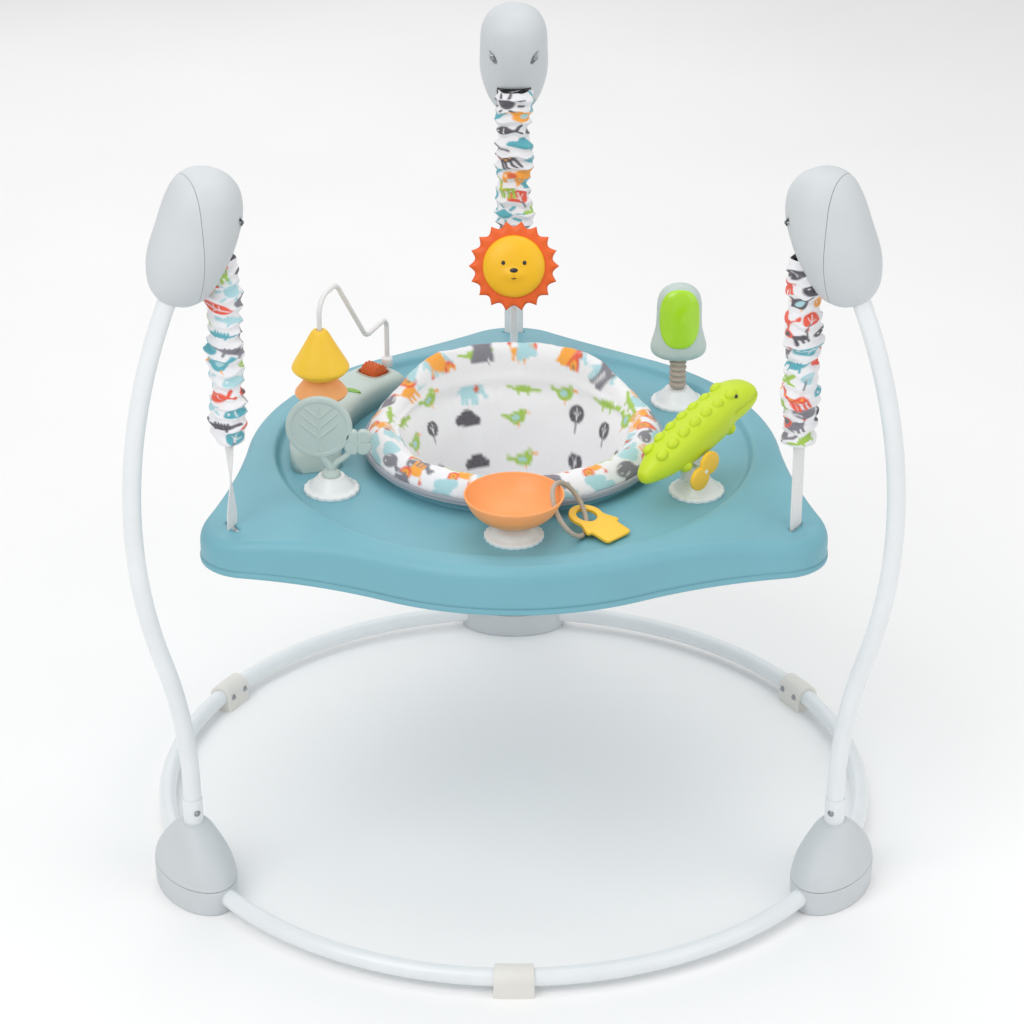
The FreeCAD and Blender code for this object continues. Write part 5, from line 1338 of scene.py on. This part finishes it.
        along = (posed(np.array([[1.0, 0, 0]])) - posed(np.zeros((1, 3))))[0]
        studs = Studs("croc_bumps", "croc_lime").place("croc_bumps", posed(np.array(bumps)), ways, along,
                                                       (8.5, 6.5, 5.4))
        dress(studs, "croc", "croc_lime")
        eyes = posed(np.array([(58.0, hand * 18.6, 19.2) for hand in (-1, 1)]))
        dress(Studs("croc_eyes", "ink").place("croc_eyes", eyes, np.array((0, 0, 1.0)), along,
                                              (2.4, 2.4, 2.4)), "croc", "croc_lime", look="ink")
        side = turn_z(np.array([[0.0, -1.0, 0.0]]), 43)[0]
        centre = turn_z(np.array([[-16.0, -27.5, 43.0]]), 43)[0] + base
        flat = turn_z(np.array([[1.0, 0, 0]]), 43)[0]
        discs = []
        for hand in (-1, 1):
            middle = centre + flat * 8.0 * hand + np.array((0, 0, 8.0 * hand))
            t = np.linspace(-1, 1, 14)
            line = middle + side * (t * 3.4)[:, None]
            radius = 14.6 * np.clip(1 - np.abs(t) ** 6, 0.02, 1) ** 0.3
            discs.append(sweep("disc", line, radius, radius, (0, 0, 1), 48))
        dress(join("twin_discs", discs), "spinner", "disc_yellow", "croc_spinner")

    def bowl(self, spot: np.ndarray) -> None:
        """Build the bowl, the ring through its wall and the tag."""
        profile = rounded([(0, 20, 0), (20, 20, 4), (38, 26, 12), (51, 38, 12), (57.5, 51, 4),
                           (59, 55, 1.5), (58.6, 56.4, 1), (56.8, 56.4, 1), (55, 52, 4), (48.5, 40.5, 12),
                           (36, 29.5, 12), (19, 23.4, 4), (0, 23.2, 0)], 7)
        made = lathe("bowl_moulding", profile, (spot[0], spot[1], WELL), 144)
        turn = math.radians(-14)
        way = np.array((math.cos(turn), math.sin(turn), 0.0))
        middle = np.array((spot[0], spot[1], WELL + 42.0))
        carve(made, [bar("bowl_hole", middle + way * 30, middle + way * 75, 12.5, 40)])
        dress(made, "tray", "bowl_peach", "bowl")
        n = np.array((0.80202, -0.2452, 0.54464))
        low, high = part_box("bowl_ring")
        centre = np.array((low + high) / 2) / MM
        one = np.cross(n, (0, 0, 1.0))
        one /= np.linalg.norm(one)
        two = np.cross(n, one)
        a = np.linspace(0, 2 * np.pi, 181)
        line = centre + 34.0 * (np.cos(a)[:, None] * one + np.sin(a)[:, None] * two)
        out = (line - centre) / 34.0
        b = np.arange(20) * 2 * np.pi / 20
        thick = 3.0 + 0.16 * np.sin(b[None, :] * 2 + a[:, None] * 34)
        outward = (thick * np.cos(b))[..., None] * out[:, None]
        rings = line[:, None] + outward + (thick * np.sin(b))[..., None] * n
        dress(skin("rope_ring", rings, capped=False), "link", "neck_beige", "bowl_ring", look="rope_beige")
        self.tag()

    def tag(self) -> None:
        """Build the house-shaped tag with its eye."""
        outline = []
        for t in np.linspace(90, 270, 33):
            outline.append((21.5 * math.cos(math.radians(t)), 21.5 * math.sin(math.radians(t))))
        outline += [(10, -19.5), (22, -25.5), (27, -27), (29, -24.5), (29, -22), (31, -20.5), (50, -20.5),
                    (53, -19), (54, -16), (54, 16), (53, 19),
                    (50, 20.5), (31, 20.5), (29, 22), (29, 24.5), (27, 27), (22, 25.5), (10, 19.5)]
        line = np.array(outline)
        line = np.array([line[i] * (1 - f) + line[(i + 1) % len(line)] * f for i in range(len(line))
                         for f in (0, 0.25, 0.5, 0.75)])
        line = (np.roll(line, 1, axis=0) + line + np.roll(line, -1, axis=0)) / 3
        hole = np.array([12.6 * line[i] / max(np.linalg.norm(line[i]), 1) for i in range(len(line))])
        rows = []
        for share, z in ((0, 0.9), (0.02, 0.3), (0.09, 0.0), (0.5, 0.0), (0.91, 0.0), (0.98, 0.3), (1, 0.9)):
            rows.append(np.concatenate([hole * (1 - share) + line * share, np.full((len(line), 1), z)],
                                       axis=1))
        upper = [np.concatenate([row[:, :2], 4.6 - row[:, 2:]], axis=1) for row in rows[::-1]]
        grid = np.array(rows + upper + rows[:1])
        low = np.array((85.0, 27.0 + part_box("bowl")[0].y / MM + 59.0, WELL + 11.0))
        made = skin("ring_label", turn_z(turn_y(grid, 10), -44) + low, capped=False)
        dress(made, "tag", "disc_yellow", "ring_tag")

    def hill(self) -> None:
        """Build the platform, the wire's collar, the cones and the roller."""
        x, y = -237.0, 8.0 + AXIS_Y
        t = np.linspace(-1, 1, 72)
        rows = []
        turn, middle = 66.0, 161.0
        section = rounded([(214, 491, 0), (214, 524, 13), (277, 524, 13), (277, 491, 0)], 9)
        section = [(section[0][0] + 3, 491.0)] + section + [(section[-1][0] - 3, 491.0)]
        for share in t:
            end = math.sqrt(max(1 - max(abs(share) - 0.86, 0) ** 2 / 0.14 ** 2, 0.0))
            row = []
            for r, z in section:
                rr = 245.5 + (r - 245.5) * (0.62 + 0.38 * end)
                zz = 491 + (z - 491) * (0.05 + 0.95 * end)
                a = math.radians(middle + share * turn / 2)
                row.append((rr * math.cos(a), rr * math.sin(a) + AXIS_Y, zz))
            rows.append(row)
        made = skin("bead_hill", np.array(rows), capped=True)
        heading = math.radians(137)
        way = np.array((math.cos(heading), math.sin(heading), 0))
        spot = way * 246 + np.array((0, AXIS_Y, 522.0))
        side = np.array((-way[1], way[0], 0))
        pocket = sweep("hill_pocket", np.array([spot + np.array((0, 0, z)) for z in (-16.0, -4.0, 12.0)]),
                       18.5, 16.5, way, 48, 3.2)
        carve(made, [pocket])
        post = lathe("hill_post", rounded([(15, 520, 0), (13, 527, 3), (11, 535, 4), (10, 556, 1),
                                           (9, 562, 1), (0, 562, 0)]), (x, y, 0), 56)
        rim_line = np.array([(math.cos(b) * 1.0, math.sin(b) * 1.0) for b in np.linspace(0, 2 * np.pi, 97)])
        squared = np.sign(rim_line) * np.abs(rim_line) ** 0.62
        line = spot + squared[:, :1] * 18.8 * way + squared[:, 1:] * 16.8 * side + np.array((0, 0, 2.0))
        rim = sweep("pocket_rim", line, 1.3, 1.3, (0, 0, 1), 14, capped=False)
        dress(rim, "tray", "neck_beige")
        dress(join("bead_platform_moulding", [made, post]), "tray", "toy_sage", "bead_platform")
        wide = np.radians(68)
        land = np.array((x + 197 * math.cos(wide), y + 197 * math.sin(wide), 0))
        collar = lathe("wire_collar", rounded([(0, 522, 0), (7.5, 522, 0), (7.5, 533, 1.5), (4.2, 536, 1),
                                               (3.3, 536, 0.2)]), land, 40)
        dress(collar, "tray", "base_white")
        rest = 562.3
        cone = rounded([(4.2, rest, 0.4), (22, rest, 3), (30, rest + 1.5, 4), (33, rest + 6, 2.5),
                        (31, rest + 9.5, 2), (17.5, rest + 26.7, 1), (4.2, rest + 26.9, 0.4)], 7)
        peach = lathe("peach_bead", cone, (x, y, 0), 88, closed=True)
        dress(peach, "peach_bead", "cone_peach", "peach_cone")
        seat = rest + 27.4
        cone = rounded([(4.2, seat, 0.4), (22, seat + 0.3, 3), (30, seat + 5, 4), (35.8, seat + 11, 2.5),
                        (35, seat + 15, 3), (22, seat + 38, 12), (11, seat + 58, 5), (8, seat + 61.6, 2),
                        (4.2, seat + 61.8, 0.4)], 7)
        yellow = lathe("yellow_bead", cone, (x, y, 0), 88, closed=True)
        dress(yellow, "yellow_bead", "cone_yellow", "yellow_cone")
        self.roller(spot, way)

    def roller(self, spot: np.ndarray, way: np.ndarray) -> None:
        """Build the drum: a barrel with bumps over most of its length."""
        t = np.linspace(-1, 1, 40)
        line = spot + way * (t * 15.0)[:, None]
        radius = 13.2 * np.clip(1 - np.abs(t) ** 8, 0.05, 1) ** 0.4
        drum = sweep("roller_form", line, radius, radius, (0, 0, 1), 48)
        places, outs = [], []
        up, side = np.array((0, 0, 1.0)), np.array((-way[1], way[0], 0))
        for row in range(8):
            for step in range(14):
                a = (step + 0.5 * (row % 2)) * 2 * np.pi / 14
                out = up * math.cos(a) + side * math.sin(a)
                places.append(spot + way * (-11.5 + row * 3.1) + out * 12.9)
                outs.append(out)
        dress(drum, "drum", "roller_rust", "roller")
        bumps = Studs("roller_bumps", "roller_rust")
        studded = bumps.place("roller_bumps", np.array(places), np.array(outs), way, (1.5, 1.5, 1.1))
        dress(studded, "drum", "roller_rust")

    def lion(self) -> None:
        """Build the stalk, the scalloped mane and the face."""
        centre = joint_at("lion_spin")
        axis = np.array((0, -math.cos(math.radians(18)), math.sin(math.radians(18))))
        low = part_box("lion_stalk")[0].z / MM
        x, y = centre[0], 264.0 + AXIS_Y
        back = centre - axis * 7.5
        line = smooth_line([(x, y, low), (x, y, low + 40), (x, y - 1, 550), (x + 0.5, y - 1, 590),
                            (x, y - 3, 622), (x, y - 8, 636), tuple(back - axis * 14), tuple(back)], 70)
        dress(sweep("lion_stem", line, 5.2, 5.2, (1, 0, 0), 32), "tray", "base_white", "lion_stalk")

        def facing(points: np.ndarray) -> np.ndarray:
            """Turn the lion's points from lying flat to facing out."""
            return turn_x(points, 72) + centre

        a = np.arange(360) * 2 * np.pi / 360
        rim = 50.5 + 7.5 * (1 - np.abs(np.sin(9 * a)) ** 0.95)
        rows = []
        for share, z in ((0, -6), (0.8, -6), (0.93, -5.6), (0.985, -3.8), (1, -1.5), (1, 1.5), (0.985, 3.8),
                         (0.93, 5.6), (0.85, 6.2), (0.8, 6.3), (0, 6.3)):
            reach = rim * share if share > 0.8 else np.full(360, 50.0 * share)
            rows.append(np.stack([reach * np.cos(a), reach * np.sin(a), np.full(360, float(z))], axis=1))
        dress(skin("lion_ruff", facing(np.array(rows)), capped=False), "lion", "lion_orange", "lion_mane")
        table = np.linspace(0, 1, 48)
        b = np.arange(160) * 2 * np.pi / 160
        rows = [np.stack([39.5 * np.cos(b), 39.5 * np.sin(b), np.full(160, 5.9)], axis=1)]
        for t in 1 - table:
            r = 39.8 * t
            px, py = r * np.cos(b), r * np.sin(b)
            z = 7.0 + 13.2 * np.sqrt(np.clip(1 - t ** 2.6, 0, 1))
            z = z + 3.2 * np.exp(-(((px) / 13) ** 2 + ((py + 10) / 8.5) ** 2) ** 1.5)
            z = z - 0.9 * np.exp(-((px / 0.9) ** 2)) * (np.abs(py + 16.0) < 5)
            rows.append(np.stack([px, py, z], axis=1))
        face = skin("lion_front", facing(np.array(rows)), capped=False)
        dress(face, "lion", "lion_yellow", "lion_face")
        marks = facing(np.array([(-13.5, 5.5, 19.6), (13.5, 5.5, 19.6)]))
        ink = Studs("lion_marks", "ink")
        flat = np.array((1.0, 0, 0))
        dress(ink.place("lion_eyes", marks, axis, flat, (2.6, 2.9, 1.6)), "lion", "lion_yellow", look="ink")
        dress(ink.place("lion_nose", facing(np.array([(0.0, -4.0, 22.4)])), axis, flat, (5.2, 3.1, 1.9)),
              "lion", "lion_yellow", look="ink")
        smile = [(7.5 * math.sin(t), -11.5 - 5.0 * math.cos(t) + 2.0,
                  22.4 - 0.06 * (7.5 * math.sin(t)) ** 2) for t in np.linspace(-1.3, 1.3, 25)]
        dress(sweep("lion_smile", facing(smooth_line(smile, 40)), 0.7, 0.7, axis, 12), "lion",
              "lion_yellow", look="ink")


# ---------------------------------------------------------------- carried-over nodes and the studio


def dress_nodes() -> None:
    """Give every carried-over CAD node its slot's finish."""
    slots = {part["node"]: part["material_slot"] for part in frame["record"]["subparts"]}
    for node, obj in frame["nodes"].items():
        obj.data.materials.clear()
        obj.data.materials.append(finish(slots[node]))
        obj["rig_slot"] = slots[node]


@dataclass
class Studio:
    """Camera, soft lights and pale floor; places in metres."""

    camera: tuple = (-0.0024, -3.5048, 2.1582)
    pitch: float = 26.7376
    lens: float = 109.4

    def light(self, name: str, place: Sequence[float], size: float, power: float) -> None:
        """Hang a soft square light that looks at the object."""
        lamp = bpy.data.lights.new(name, "AREA")
        lamp.energy, lamp.size = power, size
        hung = bpy.data.objects.new(name, lamp)
        bpy.context.scene.collection.objects.link(hung)
        hung.location = place
        hung.rotation_euler = (Vector((0, 0, 0.45)) - Vector(place)).to_track_quat("-Z", "Y").to_euler()

    def build(self) -> None:
        """Build the studio."""
        view = bpy.data.cameras.new("camera")
        view.lens, view.sensor_width = self.lens, 36.0
        view.clip_end = 60.0
        eye = bpy.data.objects.new("camera", view)
        bpy.context.scene.collection.objects.link(eye)
        eye.location = self.camera
        eye.rotation_euler = (math.radians(90 - self.pitch), 0, 0)
        bpy.context.scene.camera = eye
        self.light("key", (-1.6, -2.2, 3.2), 2.6, 50)
        self.light("fill", (2.6, -1.6, 2.0), 2.6, 17)
        self.light("top", (0.2, 0.8, 3.6), 3.0, 28)
        self.light("rear", (-0.8, 3.0, 1.8), 2.4, 10)
        graph = Graph("floor_white")
        tone = graph.blend(graph.spread(graph.noise(2.0), 0.0, 1.0), linear((249, 249, 249)),
                           linear((252, 252, 252)))
        graph.shade(Base_Color=tone, Roughness=0.9)
        mesh = bpy.data.meshes.new("floor")
        mesh.from_pydata([(-14, -14, 0), (14, -14, 0), (14, 14, 0), (-14, 14, 0)], [], [(0, 1, 2, 3)])
        mesh.materials.append(graph.material)
        floor = bpy.data.objects.new("floor", mesh)
        bpy.context.scene.collection.objects.link(floor)
        world = bpy.data.worlds.new("studio")
        world.use_nodes = True
        back = world.node_tree.nodes["Background"]
        back.inputs["Color"].default_value = (1, 1, 1, 1)
        back.inputs["Strength"].default_value = 0.62
        bpy.context.scene.world = world
        bpy.context.scene.view_settings.view_transform = "Standard"


def main() -> None:
    """Build the whole model in order."""
    logging.basicConfig(level=logging.INFO, format="%(name)s: %(message)s")
    Studio().build()
    dress_nodes()
    for part in (Floorframe(), Hangers(), Tray(), Seat(), Toys()):
        part.build()
        LOG.info("built %s", type(part).__name__)


if __name__ == "__main__":
    main()
